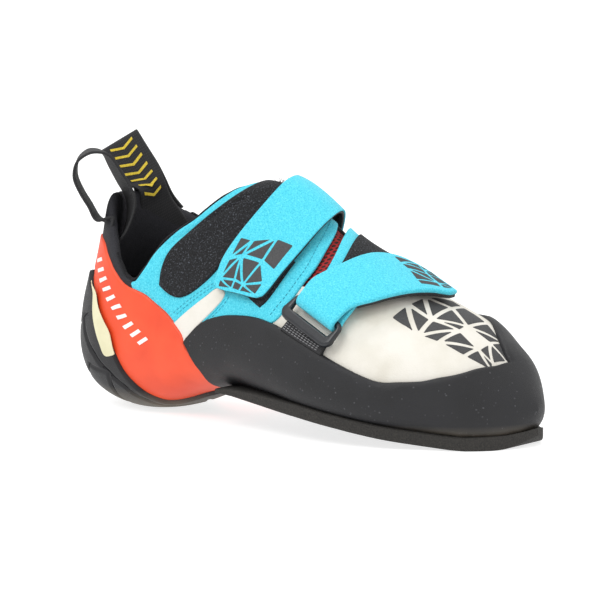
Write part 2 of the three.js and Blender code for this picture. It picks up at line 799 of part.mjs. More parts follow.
// This loop lies pressed flat, its webbing in its plane and one leg on each side of the collar
function makeInnerLoop() {
  const { across, away, up, at } = loopFrame(innerLoop.start);
  const flatStation = (row, side) => {
    const lean = THREE.MathUtils.degToRad(row.lean);
    const width = across.clone().multiplyScalar(Math.cos(lean)).addScaledVector(up, Math.sin(lean));
    const middle = at(row.across, row.up, row.away + side * row.apart);
    return acrossStation(middle, width, away.clone().multiplyScalar(side));
  };
  const crease = innerLoop.flat[innerLoop.flat.length - 1];
  const lean = THREE.MathUtils.degToRad(crease.lean);
  const creaseTurn = Array.from({ length: 3 }, (_, k) => {
    const angle = (k + 1) * Math.PI / 4;
    const out = crease.apart * Math.sin(angle);
    const station = flatStation({
      ...crease,
      across: crease.across - out * Math.sin(lean),
      up: crease.up + out * Math.cos(lean),
      apart: crease.apart * Math.cos(angle),
    }, 1);
    const face = away.clone().multiplyScalar(Math.cos(angle))
      .addScaledVector(across, -Math.sin(lean) * Math.sin(angle))
      .addScaledVector(up, Math.cos(lean) * Math.sin(angle));
    return { points: station.points, faces: station.points.map(() => face) };
  });
  return ribbon([
    ...loopLeg(innerLoop.outside, loopGap),
    ...innerLoop.flat.map((row) => flatStation(row, 1)),
    ...creaseTurn,
    ...innerLoop.flat.map((row) => flatStation(row, -1)).reverse(),
    ...insideLeg(innerLoop.inside),
  ], webbing);
}

// Finishes
const black = { color: 0x1c1c1f, metalness: 0 };
const finishes = {
  upperLeather: { color: 0xf1eee6, roughness: 0.8, metalness: 0 },
  tongueMesh: { color: 0x9c1b1e, roughness: 0.9, metalness: 0 },
  insoleCloth: { color: 0x2a2a2c, roughness: 0.9, metalness: 0 },
  toeRubber: { ...black, roughness: 0.6 },
  soleRubber: { color: 0x26231f, roughness: 0.7, metalness: 0 },
  heelRandRubber: { color: 0xfd5a38, roughness: 0.55, metalness: 0 },
  heelRubber: { ...black, roughness: 0.65 },
  strapSuede: { color: 0x45cdec, roughness: 0.95, metalness: 0 },
  blackWebbing: { ...black, roughness: 0.85 },
  ringPlastic: { color: 0x222529, roughness: 0.4, metalness: 0 },
};

const pieces = [
  ['upper', makeUpper, 'upperLeather'],
  ['tongue', makeTongue, 'tongueMesh'],
  ['insole', makeInsole, 'insoleCloth'],
  ['outsole', makeOutsole, 'soleRubber'],
  ['toe_rand', makeToeRand, 'toeRubber'],
  ['heel_rand', makeHeelRand, 'heelRandRubber'],
  ['heel_rubber', makeHeelRubber, 'heelRubber'],
  ['top_strap', makeTopStrap, 'strapSuede'],
  ['lower_strap', makeLowerStrap, 'strapSuede'],
  ['buckle_ring', makeBuckleRing, 'ringPlastic'],
  ['buckle_tab', makeBuckleTab, 'blackWebbing'],
  ['pull_loop_outer', makeOuterLoop, 'blackWebbing'],
  ['pull_loop_inner', makeInnerLoop, 'blackWebbing'],
];

const shoe = new THREE.Group();
for (const [name, make, finish] of pieces) {
  const { vertProperties, triVerts } = make().getMesh();
  const geometry = new THREE.BufferGeometry();
  geometry.setAttribute('position', new THREE.BufferAttribute(vertProperties, 3));
  geometry.setIndex(new THREE.BufferAttribute(triVerts, 1));
  const mesh = new THREE.Mesh(geometry, new THREE.MeshStandardMaterial(finishes[finish]));
  mesh.name = name;
  shoe.add(mesh);
}

// The origin stands on the floor under the middle of the shoe
const bounds = new THREE.Box3().setFromObject(shoe);
const middle = bounds.getCenter(new THREE.Vector3());
shoe.position.set(-middle.x, -middle.y, -bounds.min.z);

export default shoe;
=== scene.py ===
"""Climbing shoe for the right foot: a leather and suede upper stretched on a curved last,
rubber rands and sole, two hook and loop straps and two webbing pull loops.
"""

import json
import math
import random

import bmesh
import bpy
import numpy as np
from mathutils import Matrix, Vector

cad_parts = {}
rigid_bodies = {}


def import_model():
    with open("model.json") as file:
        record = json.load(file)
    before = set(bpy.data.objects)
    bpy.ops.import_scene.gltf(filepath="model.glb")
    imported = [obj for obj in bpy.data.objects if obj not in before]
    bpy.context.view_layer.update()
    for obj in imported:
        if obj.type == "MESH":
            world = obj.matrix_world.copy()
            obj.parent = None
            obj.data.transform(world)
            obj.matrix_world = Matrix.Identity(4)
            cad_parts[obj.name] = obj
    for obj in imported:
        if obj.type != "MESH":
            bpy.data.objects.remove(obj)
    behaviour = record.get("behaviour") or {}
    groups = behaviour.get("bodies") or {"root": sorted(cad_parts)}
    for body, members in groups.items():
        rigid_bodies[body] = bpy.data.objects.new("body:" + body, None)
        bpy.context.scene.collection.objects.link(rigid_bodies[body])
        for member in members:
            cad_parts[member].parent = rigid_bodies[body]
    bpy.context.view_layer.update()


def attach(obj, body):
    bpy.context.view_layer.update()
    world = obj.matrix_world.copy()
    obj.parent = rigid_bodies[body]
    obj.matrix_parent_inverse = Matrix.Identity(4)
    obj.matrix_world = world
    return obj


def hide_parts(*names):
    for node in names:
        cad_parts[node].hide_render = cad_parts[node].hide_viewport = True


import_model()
for thing in bpy.context.scene.objects:
    thing.select_set(False)


# The vamp: one stretched piece of white microfibre over the front of the foot.
# It is drawn over a last, so its shape is the last's. A place on the last is (u, v): u counts
# rings from the collar round the heel to the toe, v goes round a ring from under the foot or
# the back of the heel (0) by the outer side (0.25), the instep (0.5) and the big toe side (0.75).

LAST_LENGTH = 240
BALL_WIDTH = 88
INSTEP_HEIGHT = 103
HEEL_HEIGHT = 98
STAND = 4.9
WALL = 2.2
MM = 0.001
FLOOR_MIDDLE = np.array([120.12, 0.95, 0])

# Hundredths of the sizes above: back X and Z, front X and Z, centre, ridge, outer and big toe
# half width, then the height share of the widest place and the roundness below and above it
LAST = np.array([
    [6.7, 104, 32.5, 117.5, 0, 2.3, 26, 26, 0.5, 2.1, 2.1],
    [5.4, 89, 34.6, 111.7, 0, 2.3, 28.5, 27.5, 0.5, 2.1, 2.1],
    [4.2, 70.5, 36.7, 106.8, 0, 2.3, 30.7, 29.5, 0.48, 2.1, 2.1],
    [2.5, 53, 38.8, 104.2, 0, 2.3, 32.4, 31.8, 0.46, 2.1, 2],
    [1, 36, 40.8, 103.8, 0, 3.4, 34, 34, 0.42, 2.1, 1.95],
    [1.3, 17.3, 43, 103.5, 0, 3.4, 36.3, 35.2, 0.4, 2.2, 1.9],
    [5.4, 4.6, 45.4, 102.4, 0, 4.5, 37.5, 36.4, 0.38, 2.4, 1.85],
    [13.8, -1.2, 48.3, 99.8, 0, 5.7, 38.6, 37, 0.36, 2.5, 1.85],
    [23.3, 0.4, 51.7, 94.9, -0.6, 6.8, 39.8, 37.5, 0.36, 2.5, 1.85],
    [32.5, 8.2, 55.4, 88.3, -1.7, 8, 41, 39.2, 0.36, 2.4, 1.85],
    [42.5, 13.6, 59.6, 81, -2.8, 9, 42.6, 40.3, 0.36, 2.6, 1.85],
    [52.5, 12.8, 64.6, 74.6, -4, 10, 45, 43.8, 0.36, 3.2, 1.9],
    [62.5, 9.9, 70, 68.8, -3.4, 11.4, 48.2, 47, 0.37, 4, 1.95],
    [71.7, 7.2, 75.8, 62, -1.1, 10.2, 49.4, 47.7, 0.38, 4.5, 2],
    [80, 4.4, 81.7, 55.9, 1.1, 9, 45.5, 45.5, 0.4, 4.5, 2.1],
    [87, 2, 87, 50.5, 4.5, 5.7, 38, 38.2, 0.42, 4.2, 2.2],
    [92.5, 0.5, 91.2, 43.5, 6.8, 3.4, 32, 31.2, 0.45, 3.8, 2.2],
    [96.2, 0.5, 94.6, 36.7, 8.5, 3.4, 24, 24, 0.48, 3.2, 2.2],
    [98.7, 3.2, 97.5, 27.2, 11.4, 1.1, 14.8, 14.2, 0.5, 2.6, 2.1],
    [99.8, 7, 99.2, 20.4, 12.5, 0.6, 7.4, 7.2, 0.5, 2, 2],
    [100.2, 11.6, 100.2, 16, 13, 0, 0, 0, 0.5, 2, 2],
])
PARTS = np.array([LAST_LENGTH, HEEL_HEIGHT, LAST_LENGTH, INSTEP_HEIGHT] + 4 * [BALL_WIDTH])
RINGS = LAST.copy()
RINGS[:, :8] *= PARTS / 100
RINGS[:, 1] += STAND
TOE = len(RINGS) - 1


def through(rows, at):
    """Rows of numbers at places between the rows, on one smooth curve through them."""
    rows = np.asarray(rows, float)
    at = np.clip(np.asarray(at, float), 0, len(rows) - 1)
    k = np.minimum(at.astype(int), len(rows) - 2)
    t = (at - k)[..., None]
    a, b = rows[k], rows[k + 1]
    before = rows[np.maximum(k - 1, 0)]
    after = rows[np.minimum(k + 2, len(rows) - 1)]
    slope_a = np.where((k > 0)[..., None], (b - before) / 2, b - a)
    slope_b = np.where((k < len(rows) - 2)[..., None], (after - a) / 2, b - a)
    return (
        (2 * t**3 - 3 * t**2 + 1) * a
        + (t**3 - 2 * t**2 + t) * slope_a
        + (3 * t**2 - 2 * t**3) * b
        + (t**3 - t**2) * slope_b
    )


def surface(u, v):
    """The last's surface in millimetres, before it is moved over the floor's middle."""
    u, v = np.broadcast_arrays(np.asarray(u, float), np.asarray(v, float))
    ring = through(RINGS, u)
    back_x, back_z, front_x, front_z, centre, ridge, outer, inner, widest, low, top = np.moveaxis(ring, -1, 0)
    rise = -np.cos(v * 2 * np.pi)
    side = np.sin(v * 2 * np.pi)
    curve = np.where(rise < 0, low, top)
    up = np.sign(rise) * np.abs(rise) ** (2 / curve)
    out = np.sign(side) * np.abs(side) ** (2 / curve)
    along = np.where(rise < 0, widest * (1 + up), widest + (1 - widest) * up)
    half = np.where(side > 0, outer, inner)
    return np.stack([
        back_x + (front_x - back_x) * along,
        centre + ridge * along - half * out,
        back_z + (front_z - back_z) * along,
    ], axis=-1)


def outward(u, v):
    """Unit normals of the last. At the very tip, where a ring is a point, all look ahead."""
    near = np.minimum(np.asarray(u, float), TOE - 0.03)
    step = 0.004
    along = surface(near + step, v) - surface(near - step, v)
    around = surface(near, v + step) - surface(near, v - step)
    normal = np.cross(along, around)
    normal /= np.maximum(np.linalg.norm(normal, axis=-1, keepdims=True), 1e-9)
    ahead = np.clip((np.asarray(u, float) - TOE + 0.4) / 0.4, 0, 1)[..., None]
    normal = normal * (1 - ahead) + np.array([1, 0, -0.15]) * ahead
    return normal / np.linalg.norm(normal, axis=-1, keepdims=True)


# Soft troughs and ridges in the leather: from (u, v) to (u, v), width and height in millimetres
CREASES = [
    (9.2, 0.33, 8.3, 0.40, 3.0, -0.8),
    (8.6, 0.33, 7.8, 0.38, 2.4, 0.5),
    (12.7, 0.30, 13.2, 0.36, 2.6, -0.6),
    (13.4, 0.31, 13.9, 0.38, 3.0, 0.5),
    (11.0, 0.62, 12.2, 0.66, 3.2, -0.7),
    (12.0, 0.60, 13.2, 0.64, 3.2, 0.5),
    (4.6, 0.33, 5.2, 0.42, 4.0, -0.9),
    (3.4, 0.62, 4.6, 0.66, 4.0, -0.9),
    (7.4, 0.70, 8.6, 0.66, 3.4, -0.6),
]
RING_MM = 20
ROUND_MM = 230


def away_from_line(spot, u1, v1, u2, v2):
    """Millimetres from spots to a line between two (u, v), on the leather laid out flat."""
    a = np.array([u1 * RING_MM, v1 * ROUND_MM])
    b = np.array([u2 * RING_MM, v2 * ROUND_MM])
    t = np.clip(((spot - a) @ (b - a)) / ((b - a) @ (b - a)), 0, 1)
    return np.linalg.norm(spot - a - t[..., None] * (b - a), axis=-1)


def creases(u, v):
    """Height of the troughs and ridges at each (u, v), in millimetres."""
    u, v = np.broadcast_arrays(np.asarray(u, float), np.asarray(v, float))
    spot = np.stack([u * RING_MM, v * ROUND_MM], -1)
    height = np.zeros(u.shape)
    for *line, width, depth in CREASES:
        height += depth * np.exp(-((away_from_line(spot, *line) / width) ** 2))
    return height


def place(u, v, off=0.0, leather=True):
    """Points over the last in metres, in the frame of the shoe. off is in millimetres."""
    off = np.asarray(off, float) + (creases(u, v) if leather else 0)
    points = surface(u, v) + outward(u, v) * off[..., None]
    return (points - FLOOR_MIDDLE) * MM


def spaced(length, edge, count):
    """Shares from 0 to 1 with closer ones near both ends, where an edge is rounded."""
    edge = min(edge / max(length, 1e-6), 0.2)
    ends = np.array([0, 0.06, 0.22, 0.55]) * edge
    middle = np.linspace(edge, 1 - edge, count)
    return np.concatenate([ends, middle, 1 - ends[::-1]])


def new_piece(name, vertices, faces, uv=None, smooth=40):
    """A closed mesh object of the shoe, faces outward, doubles merged."""
    mesh = bpy.data.meshes.new(name)
    mesh.from_pydata([tuple(p) for p in vertices], [], [tuple(f) for f in faces])
    if uv is not None:
        layer = mesh.uv_layers.new(name="cut")
        corners = np.zeros(len(mesh.loops), np.int32)
        mesh.loops.foreach_get("vertex_index", corners)
        layer.data.foreach_set("uv", np.asarray(uv, np.float32)[corners].ravel())
    shape = bmesh.new()
    shape.from_mesh(mesh)
    bmesh.ops.remove_doubles(shape, verts=shape.verts, dist=2e-6)
    bmesh.ops.dissolve_degenerate(shape, edges=shape.edges, dist=1e-7)
    if shape.calc_volume(signed=True) < 0:
        bmesh.ops.reverse_faces(shape, faces=shape.faces)
    shape.to_mesh(mesh)
    shape.free()
    piece = bpy.data.objects.new(name, mesh)
    bpy.context.scene.collection.objects.link(piece)
    bpy.ops.object.select_all(action="DESELECT")
    piece.select_set(True)
    bpy.context.view_layer.objects.active = piece
    bpy.ops.object.shade_smooth_by_angle(angle=math.radians(smooth))
    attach(piece, "root")
    return piece


def grid_faces(n, m, first, flip):
    """Quads over n by m points that start at first, turned over where flip says so."""
    index = np.arange(n * m).reshape(n, m) + first
    quads = np.stack([index[:-1, :-1], index[1:, :-1], index[1:, 1:], index[:-1, 1:]], -1).reshape(-1, 4)
    return (quads[:, ::-1] if flip else quads).tolist()


def sheet_grid(points, normals, low, high, edge, glued):
    """Vertices, faces and UV of a sheet with rounded edges between two heights over points."""
    n, m = points.shape[:2]
    along = np.linalg.norm(np.diff(points, axis=0), axis=-1).mean(axis=1)
    along = np.concatenate([[0], np.cumsum(along)]) / MM
    across = np.linalg.norm(np.diff(points, axis=1), axis=-1)
    across = np.concatenate([np.zeros((n, 1)), np.cumsum(across, axis=1)], axis=1) / MM
    from_end = np.minimum(along, along[-1] - along)[:, None]
    from_side = np.minimum(across, across[:, -1:] - across)
    inside = np.clip(np.minimum(from_end, from_side) / edge, 0, 1)
    swell = np.sqrt(1 - (1 - inside) ** 2)
    middle = low if glued else (low + high) / 2
    top = points + normals * ((middle + (high - middle) * swell) * MM)[..., None]
    bottom = points + normals * ((middle - (middle - low) * swell) * MM)[..., None]
    uv = np.stack([np.broadcast_to(along[:, None], (n, m)), across], -1).reshape(-1, 2) / 100
    faces = np.array(grid_faces(n, m, 0, False) + grid_faces(n, m, n * m, True))
    return np.concatenate([top.reshape(-1, 3), bottom.reshape(-1, 3)]), faces, np.concatenate([uv, uv])


def between(rows, t):
    """(u, v) at shares t of the way from the first place of each row to its second."""
    return rows[:, 0:1] * (1 - t) + rows[:, 2:3] * t, rows[:, 1:2] * (1 - t) + rows[:, 3:4] * t


def panel(
    name, rows, thick, long_steps=60, cross_steps=16, edge=0.8, lift=0.0,
    relief=None, leather=True, floor=False,
):
    """A sheet that lies on the last between two borders. rows holds (u, v) of one border and
    (u, v) of the other, and may hold a lift of its own. relief adds height by (u, v)."""
    rows = np.asarray(rows, float)
    samples = through(rows, np.linspace(0, len(rows) - 1, 200))
    one = place(samples[:, 0], samples[:, 1]) / MM
    other = place(samples[:, 2], samples[:, 3]) / MM
    length = np.linalg.norm(np.diff((one + other) / 2, axis=0), axis=-1)
    width = np.linalg.norm(one - other, axis=-1).max()
    reach = np.concatenate([[0], np.cumsum(length)])
    s = np.interp(spaced(reach[-1], edge, long_steps) * reach[-1], reach, np.linspace(0, len(rows) - 1, 200))
    t = spaced(width, edge, cross_steps)[None, :]
    line = through(rows, s)
    u, v = between(line, t)
    own = line[:, 4:5] if rows.shape[1] > 4 else 0
    high = np.full(u.shape, float(thick))
    if relief is not None:
        high = high + relief(u, v)
    points = place(u, v, lift + own, leather)
    vertices, faces, uv = sheet_grid(points, outward(u, v), np.zeros(u.shape), high, edge, True)
    if floor:
        vertices[:, 2] = np.maximum(vertices[:, 2], 0)
    return new_piece(name, vertices, faces, uv)


def material(name, slot, piece_colour=(0.5, 0.5, 0.5)):
    """A new material with its Principled shader, and quick ways to add nodes and links."""
    made = bpy.data.materials.new(name)
    made.use_nodes = True
    made.diffuse_color = (*piece_colour, 1)
    nodes = made.node_tree.nodes
    links = made.node_tree.links
    shader = nodes["Principled BSDF"]

    def add(kind, inputs=None, **settings):
        node = nodes.new(kind)
        for key, value in settings.items():
            setattr(node, key, value)
        for key, value in (inputs or {}).items():
            if isinstance(value, bpy.types.NodeSocket):
                links.new(value, node.inputs[key])
            else:
                node.inputs[key].default_value = value
        return node

    if slot:
        made["slot"] = slot
    return made, shader, add, links


def dress(piece, made, *nodes):
    """Puts a material on a piece and hides the CAD parts that it stands for."""
    piece.data.materials.clear()
    piece.data.materials.append(made)
    if nodes:
        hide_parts(*nodes)
    return piece


def group(name, inputs, outputs):
    """An empty node group with number inputs and its outputs, ready for nodes."""
    tree = bpy.data.node_groups.new(name, "ShaderNodeTree")
    for label, value in inputs:
        socket = tree.interface.new_socket(name=label, in_out="INPUT", socket_type="NodeSocketFloat")
        socket.default_value = value
    for label in outputs:
        tree.interface.new_socket(name=label, in_out="OUTPUT", socket_type="NodeSocketFloat")
    return tree, tree.nodes.new("NodeGroupInput"), tree.nodes.new("NodeGroupOutput")


# Grain: a broad cloudiness for the colour and a fine pebble for the bump
grain, grain_in, grain_out = group(
    "grain", [("Cloud Scale", 60), ("Pebble Scale", 900), ("Pebble Sharpness", 1)],
    ["Cloud", "Pebble", "Speck"],
)
spot = grain.nodes.new("ShaderNodeTexCoord")
cloud = grain.nodes.new("ShaderNodeTexNoise")
cloud.inputs["Detail"].default_value = 5
pebble = grain.nodes.new("ShaderNodeTexNoise")
pebble.inputs["Detail"].default_value = 3
pebble.inputs["Roughness"].default_value = 0.6
speck = grain.nodes.new("ShaderNodeTexWhiteNoise")
snap = grain.nodes.new("ShaderNodeVectorMath")
snap.operation = "MULTIPLY"
snap.inputs[1].default_value = (1600, 1600, 1600)
whole = grain.nodes.new("ShaderNodeVectorMath")
whole.operation = "FLOOR"
sharp = grain.nodes.new("ShaderNodeMath")
sharp.operation = "POWER"
for start, end in [
    (spot.outputs["Object"], cloud.inputs["Vector"]),
    (spot.outputs["Object"], pebble.inputs["Vector"]),
    (spot.outputs["Object"], snap.inputs[0]),
    (snap.outputs[0], whole.inputs[0]),
    (whole.outputs[0], speck.inputs["Vector"]),
    (grain_in.outputs["Cloud Scale"], cloud.inputs["Scale"]),
    (grain_in.outputs["Pebble Scale"], pebble.inputs["Scale"]),
    (pebble.outputs["Fac"], sharp.inputs[0]),
    (grain_in.outputs["Pebble Sharpness"], sharp.inputs[1]),
    (cloud.outputs["Fac"], grain_out.inputs["Cloud"]),
    (sharp.outputs[0], grain_out.inputs["Pebble"]),
    (speck.outputs["Value"], grain_out.inputs["Speck"]),
]:
    grain.links.new(start, end)


def with_grain(add, cloud_scale, pebble_scale, sharpness=1.0):
    """The grain in a material, with its own scales."""
    node = add("ShaderNodeGroup", node_tree=grain)
    node.inputs["Cloud Scale"].default_value = cloud_scale
    node.inputs["Pebble Scale"].default_value = pebble_scale
    node.inputs["Pebble Sharpness"].default_value = sharpness
    return node


def ramp(add, factor, stops):
    """Colours along a factor. stops holds a place and a colour each."""
    node = add("ShaderNodeValToRGB", {"Fac": factor})
    while len(node.color_ramp.elements) < len(stops):
        node.color_ramp.elements.new(0.5)
    for element, (at, colour) in zip(node.color_ramp.elements, stops):
        element.position = at
        element.color = (*colour, 1) if len(colour) == 3 else (colour[0],) * 3 + (1,)
    return node.outputs["Color"]


def bumped(add, links, shader, height, strength, distance):
    """Relief from a height, joined to the shader."""
    node = add("ShaderNodeBump", {"Height": height, "Strength": strength, "Distance": distance})
    links.new(node.outputs["Normal"], shader.inputs["Normal"])


def grained(name, slot, colour, sizes, factor, stops, roughness, bump, bump_by="Pebble", sockets=None):
    """A material with the grain in it. factor and bump_by name outputs of the grain, stops are
    colours along the first, and bump is the strength and distance of the relief."""
    made, shader, add, links = material(name, slot, colour)
    texture = with_grain(add, *sizes)
    links.new(ramp(add, texture.outputs[factor], stops), shader.inputs["Base Color"])
    shader.inputs["Roughness"].default_value = roughness
    for label, value in (sockets or {}).items():
        shader.inputs[label].default_value = value
    bumped(add, links, shader, texture.outputs[bump_by], *bump)
    return made


white_vamp = grained(
    "white_microfibre", "upper_leather", (0.9, 0.88, 0.82), (45, 1400), "Cloud",
    [(0.3, (0.52, 0.49, 0.42)), (0.45, (0.61, 0.585, 0.52)), (0.6, (0.66, 0.635, 0.58))],
    roughness=0.72, bump=(0.35, 0.0004),
)

# The throat is cut out of every layer of the wall: (u, v) of its two edges
THROAT = [
    [1.5, 0.562, 1.5, 0.62],
    [5, 0.56, 5.2, 0.615],
    [7.2, 0.556, 8, 0.6],
    [8.7, 0.535, 9.9, 0.575],
    [9.2, 0.482, 10.9, 0.53],
    [9.75, 0.432, 11.3, 0.49],
    [10.15, 0.395, 11.4, 0.43],
    [10.42, 0.36, 10.98, 0.37],
]


CUT_DEPTHS = -6.0, 7.0


def cut_throat(piece):
    """Cuts the throat with a block that follows the last, as a knife would."""
    rows = through(THROAT, np.linspace(0, len(THROAT) - 1, 36))
    t = np.linspace(0, 1, 7)[None, :]
    u, v = between(rows, t)
    depths = [np.full(u.shape, depth) for depth in CUT_DEPTHS]
    points, faces, _ = sheet_grid(place(u, v), outward(u, v), *depths, 0.01, True)
    n, m = u.shape
    index = np.arange(n * m).reshape(n, m)
    for line in (index[0], index[::-1, 0], index[-1, ::-1], index[:, -1]):
        walls = [[a, b, b + n * m, a + n * m] for a, b in zip(line[:-1], line[1:])]
        faces = np.concatenate([faces, walls])
    knife = new_piece("throat_knife", points, faces)
    bpy.context.view_layer.objects.active = piece
    cut = piece.modifiers.new("throat", "BOOLEAN")
    cut.operation = "DIFFERENCE"
    cut.solver = "EXACT"
    cut.object = knife
    bpy.ops.object.modifier_apply(modifier=cut.name)
    bpy.data.objects.remove(knife)
    return piece


VAMP_ROWS = [
    [8.2, 0.06, 8.6, 0.94],
    [9.4, 0.04, 9.4, 0.96],
    [11, 0.03, 11, 0.97],
    [13, 0.03, 13, 0.97],
    [15, 0.03, 15, 0.97],
    [17, 0.03, 17, 0.97],
    [18.6, 0.03, 18.6, 0.97],
]
vamp = panel("vamp", VAMP_ROWS, 1.2, 90, 90, lift=-1.3)
dress(cut_throat(vamp), white_vamp, "upper")


def tube_faces(first, rings, sides):
    """Faces of a closed tube whose rings of points follow one another from first."""
    faces = []
    for ring in range(first, first + (rings - 1) * sides, sides):
        for k in range(sides):
            here, beside = ring + k, ring + (k + 1) % sides
            faces.append([here, beside, beside + sides, here + sides])
    last = first + (rings - 1) * sides
    return faces + [[first + k for k in reversed(range(sides))], [last + k for k in range(sides)]]


def facets(name, over, length, width, size, gap, seed, skip=0.0):
    """Printed facets: a jittered lattice of cut corners. over(a, b, height) gives the place in
    metres for millimetres along and across, and each facet is a thin raised tile."""
    dice = random.Random(seed)
    rows = max(1, round(length / size))
    columns = max(1, round(width / size))
    nodes = {}
    for i in range(rows + 1):
        for j in range(columns + 1):
            a = (i + dice.uniform(-0.3, 0.3)) * length / rows
            b = (j + dice.uniform(-0.3, 0.3)) * width / columns
            nodes[i, j] = np.array([min(max(a, 0), length), min(max(b, 0), width)])
    shapes = []
    for i in range(rows):
        for j in range(columns):
            ring = [nodes[i, j], nodes[i + 1, j], nodes[i + 1, j + 1], nodes[i, j + 1]]
            turn = dice.random()
            if turn < 0.42:
                shapes += [[ring[0], ring[1], ring[2]], [ring[0], ring[2], ring[3]]]
            elif turn < 0.76:
                shapes += [[ring[0], ring[1], ring[3]], [ring[1], ring[2], ring[3]]]
            else:
                shapes.append(ring)
    vertices, faces = [], []
    for shape in shapes:
        if dice.random() < skip:
            continue
        sides = len(shape)
        turned = sum(np.cross(shape[k], shape[(k + 1) % sides]) for k in range(sides))
        if turned < 0:
            shape = shape[::-1]
        lines = []
        for k in range(sides):
            way = shape[(k + 1) % sides] - shape[k]
            way = way / np.linalg.norm(way)
            lines.append((shape[k] + np.array([-way[1], way[0]]) * gap / 2, way))
        corners = []
        for k in range(sides):
            (p, d), (q, e) = lines[k - 1], lines[k]
            cross = d[0] * e[1] - d[1] * e[0]
            corners.append(p + d * ((q - p)[0] * e[1] - (q - p)[1] * e[0]) / cross)
        left = sum(np.cross(corners[k], corners[(k + 1) % sides]) for k in range(sides)) / 2
        if left < size * size * 0.06:
            continue
        middle = sum(corners) / sides
        border = []
        for k in range(sides):
            start, end = corners[k], corners[(k + 1) % sides]
            border += [start + (end - start) * t for t in (0.04, 0.2, 0.4, 0.6, 0.8, 0.96)]
        border = np.array(border)
        count = len(border)
        rings = [(0.02, 0.1), (0.35, 0.1), (0.7, 0.1), (0.97, 0.1), (1, 0.04), (1, -0.25)]
        first = len(vertices)
        for share, height in rings:
            ring = middle + (border - middle) * share
            vertices += [over(a, b, height) for a, b in ring]
        faces += tube_faces(first, len(rings), count)
    return new_piece(name, vertices, faces, smooth=25)


printed_grey = grained(
    "printed_grey", "upper_leather", (0.06, 0.06, 0.06), (80, 1600), "Pebble",
    [(0.3, (0.026, 0.026, 0.027)), (0.75, (0.055, 0.055, 0.057))],
    roughness=0.7, bump=(0.4, 0.0003),
)

TOE_PATCH = {"back": (13.3, 0.375, 13.3, 0.56), "front": (17.2, 0.385, 17.2, 0.53), "size": (46, 34)}


def over_toe(a, b, height):
    """Places on the toe's printed patch, from millimetres along and across."""
    s, t = a / TOE_PATCH["size"][0], b / TOE_PATCH["size"][1]
    back_u, back_v, far_back_u, far_back_v = TOE_PATCH["back"]
    front_u, front_v, far_front_u, far_front_v = TOE_PATCH["front"]
    u = (back_u * (1 - t) + far_back_u * t) * (1 - s) + (front_u * (1 - t) + far_front_u * t) * s
    v = (back_v * (1 - t) + far_back_v * t) * (1 - s) + (front_v * (1 - t) + far_front_v * t) * s
    return place(u, v, height)


dress(facets("toe_facets", over_toe, *TOE_PATCH["size"], 11.5, 1.8, 8, skip=0.04), printed_grey)


# The collar lining: black napped cloth on the inside of the whole upper, from the rim down.
# It is sewn from two halves that meet behind the heel and leave the throat open, with one
# deeper piece below them, and the padded band at the heel wraps over its edge.

COLLAR_OUTER = [
    [-10, 104], [3, 102], [7, 101], [10.5, 89], [14, 74], [17, 65], [20, 62.2], [23, 72],
    [26, 82.5], [29, 88], [32, 92.5], [35, 99.5], [38, 107], [42, 112], [50, 125],
]
COLLAR_INNER = [
    [-10, 104], [3, 102], [7, 100.5], [10.5, 96], [14, 91.5], [17, 87.5], [20, 83], [23, 81],
    [26, 84], [29, 91], [32, 98.5], [35, 105], [38, 108], [42, 112], [50, 125],
]
RIM_HALF_WIDTH = 26.4


def rim_height(x, y):
    """Height of the collar's edge, a mix of the outer and the big toe side's line."""
    outer = np.array(COLLAR_OUTER) * [LAST_LENGTH / 100, HEEL_HEIGHT / 100]
    inner = np.array(COLLAR_INNER) * [LAST_LENGTH / 100, HEEL_HEIGHT / 100]
    share = np.clip((y / RIM_HALF_WIDTH + 1) / 2, 0, 1)
    return np.interp(x, *outer.T) * (1 - share) + np.interp(x, *inner.T) * share


def rim(v):
    """The ring at which the collar ends, for each v."""
    v = np.asarray(v, float)
    steps = np.linspace(0, 8, 321)
    points = surface(steps[:, None], v[None, :])
    above = points[..., 2] > rim_height(points[..., 0], points[..., 1])
    last_above = np.where(above.any(axis=0), steps.size - 1 - np.argmax(above[::-1], axis=0), 0)
    return steps[last_above]


black_lining = grained(
    "black_lining", "upper_leather", (0.02, 0.02, 0.022), (120, 2200), "Pebble",
    [(0.35, (0.003, 0.003, 0.004)), (0.75, (0.014, 0.014, 0.017))],
    roughness=0.95, bump=(0.9, 0.0006),
    sockets={"Sheen Weight": 0.06, "Specular IOR Level": 0.25},
)

LINING_END = 6.3
LINING_LIFT = -2.3
for side, v_from, v_to in (("outer", 0, 0.557), ("inner", 0.617, 1)):
    around = np.linspace(v_from, v_to, 25)
    lining_rows = [[u + 0.04, v, max(u + 2, LINING_END), v] for u, v in zip(rim(around), around)]
    dress(panel(f"collar_lining_{side}", lining_rows, 1.0, 70, 30, edge=0.5, lift=LINING_LIFT), black_lining)
deep_rows = [[u, 0.0, u, 1.0] for u in (5.6, 8, 10, 12, 14, 16, 18, 19.4)]
deep_lining = panel("inner_lining", deep_rows, 0.8, 60, 60, edge=0.3, lift=LINING_LIFT)
dress(cut_throat(deep_lining), black_lining)


# The quarters: cyan microfibre suede on both sides of the foot, sewn over the vamp.
# The outer one runs from the collar's rim down under the rubber and forward to the throat.

cyan_suede = grained(
    "cyan_suede", "strap_suede", (0.1, 0.62, 0.85), (160, 1500, 1.4), "Pebble",
    [(0.12, (0.02, 0.36, 0.51)), (0.4, (0.065, 0.55, 0.68)), (0.7, (0.16, 0.68, 0.78))],
    roughness=0.95, bump=(0.7, 0.0005),
    sockets={"Sheen Weight": 0.15, "Sheen Roughness": 0.4},
)


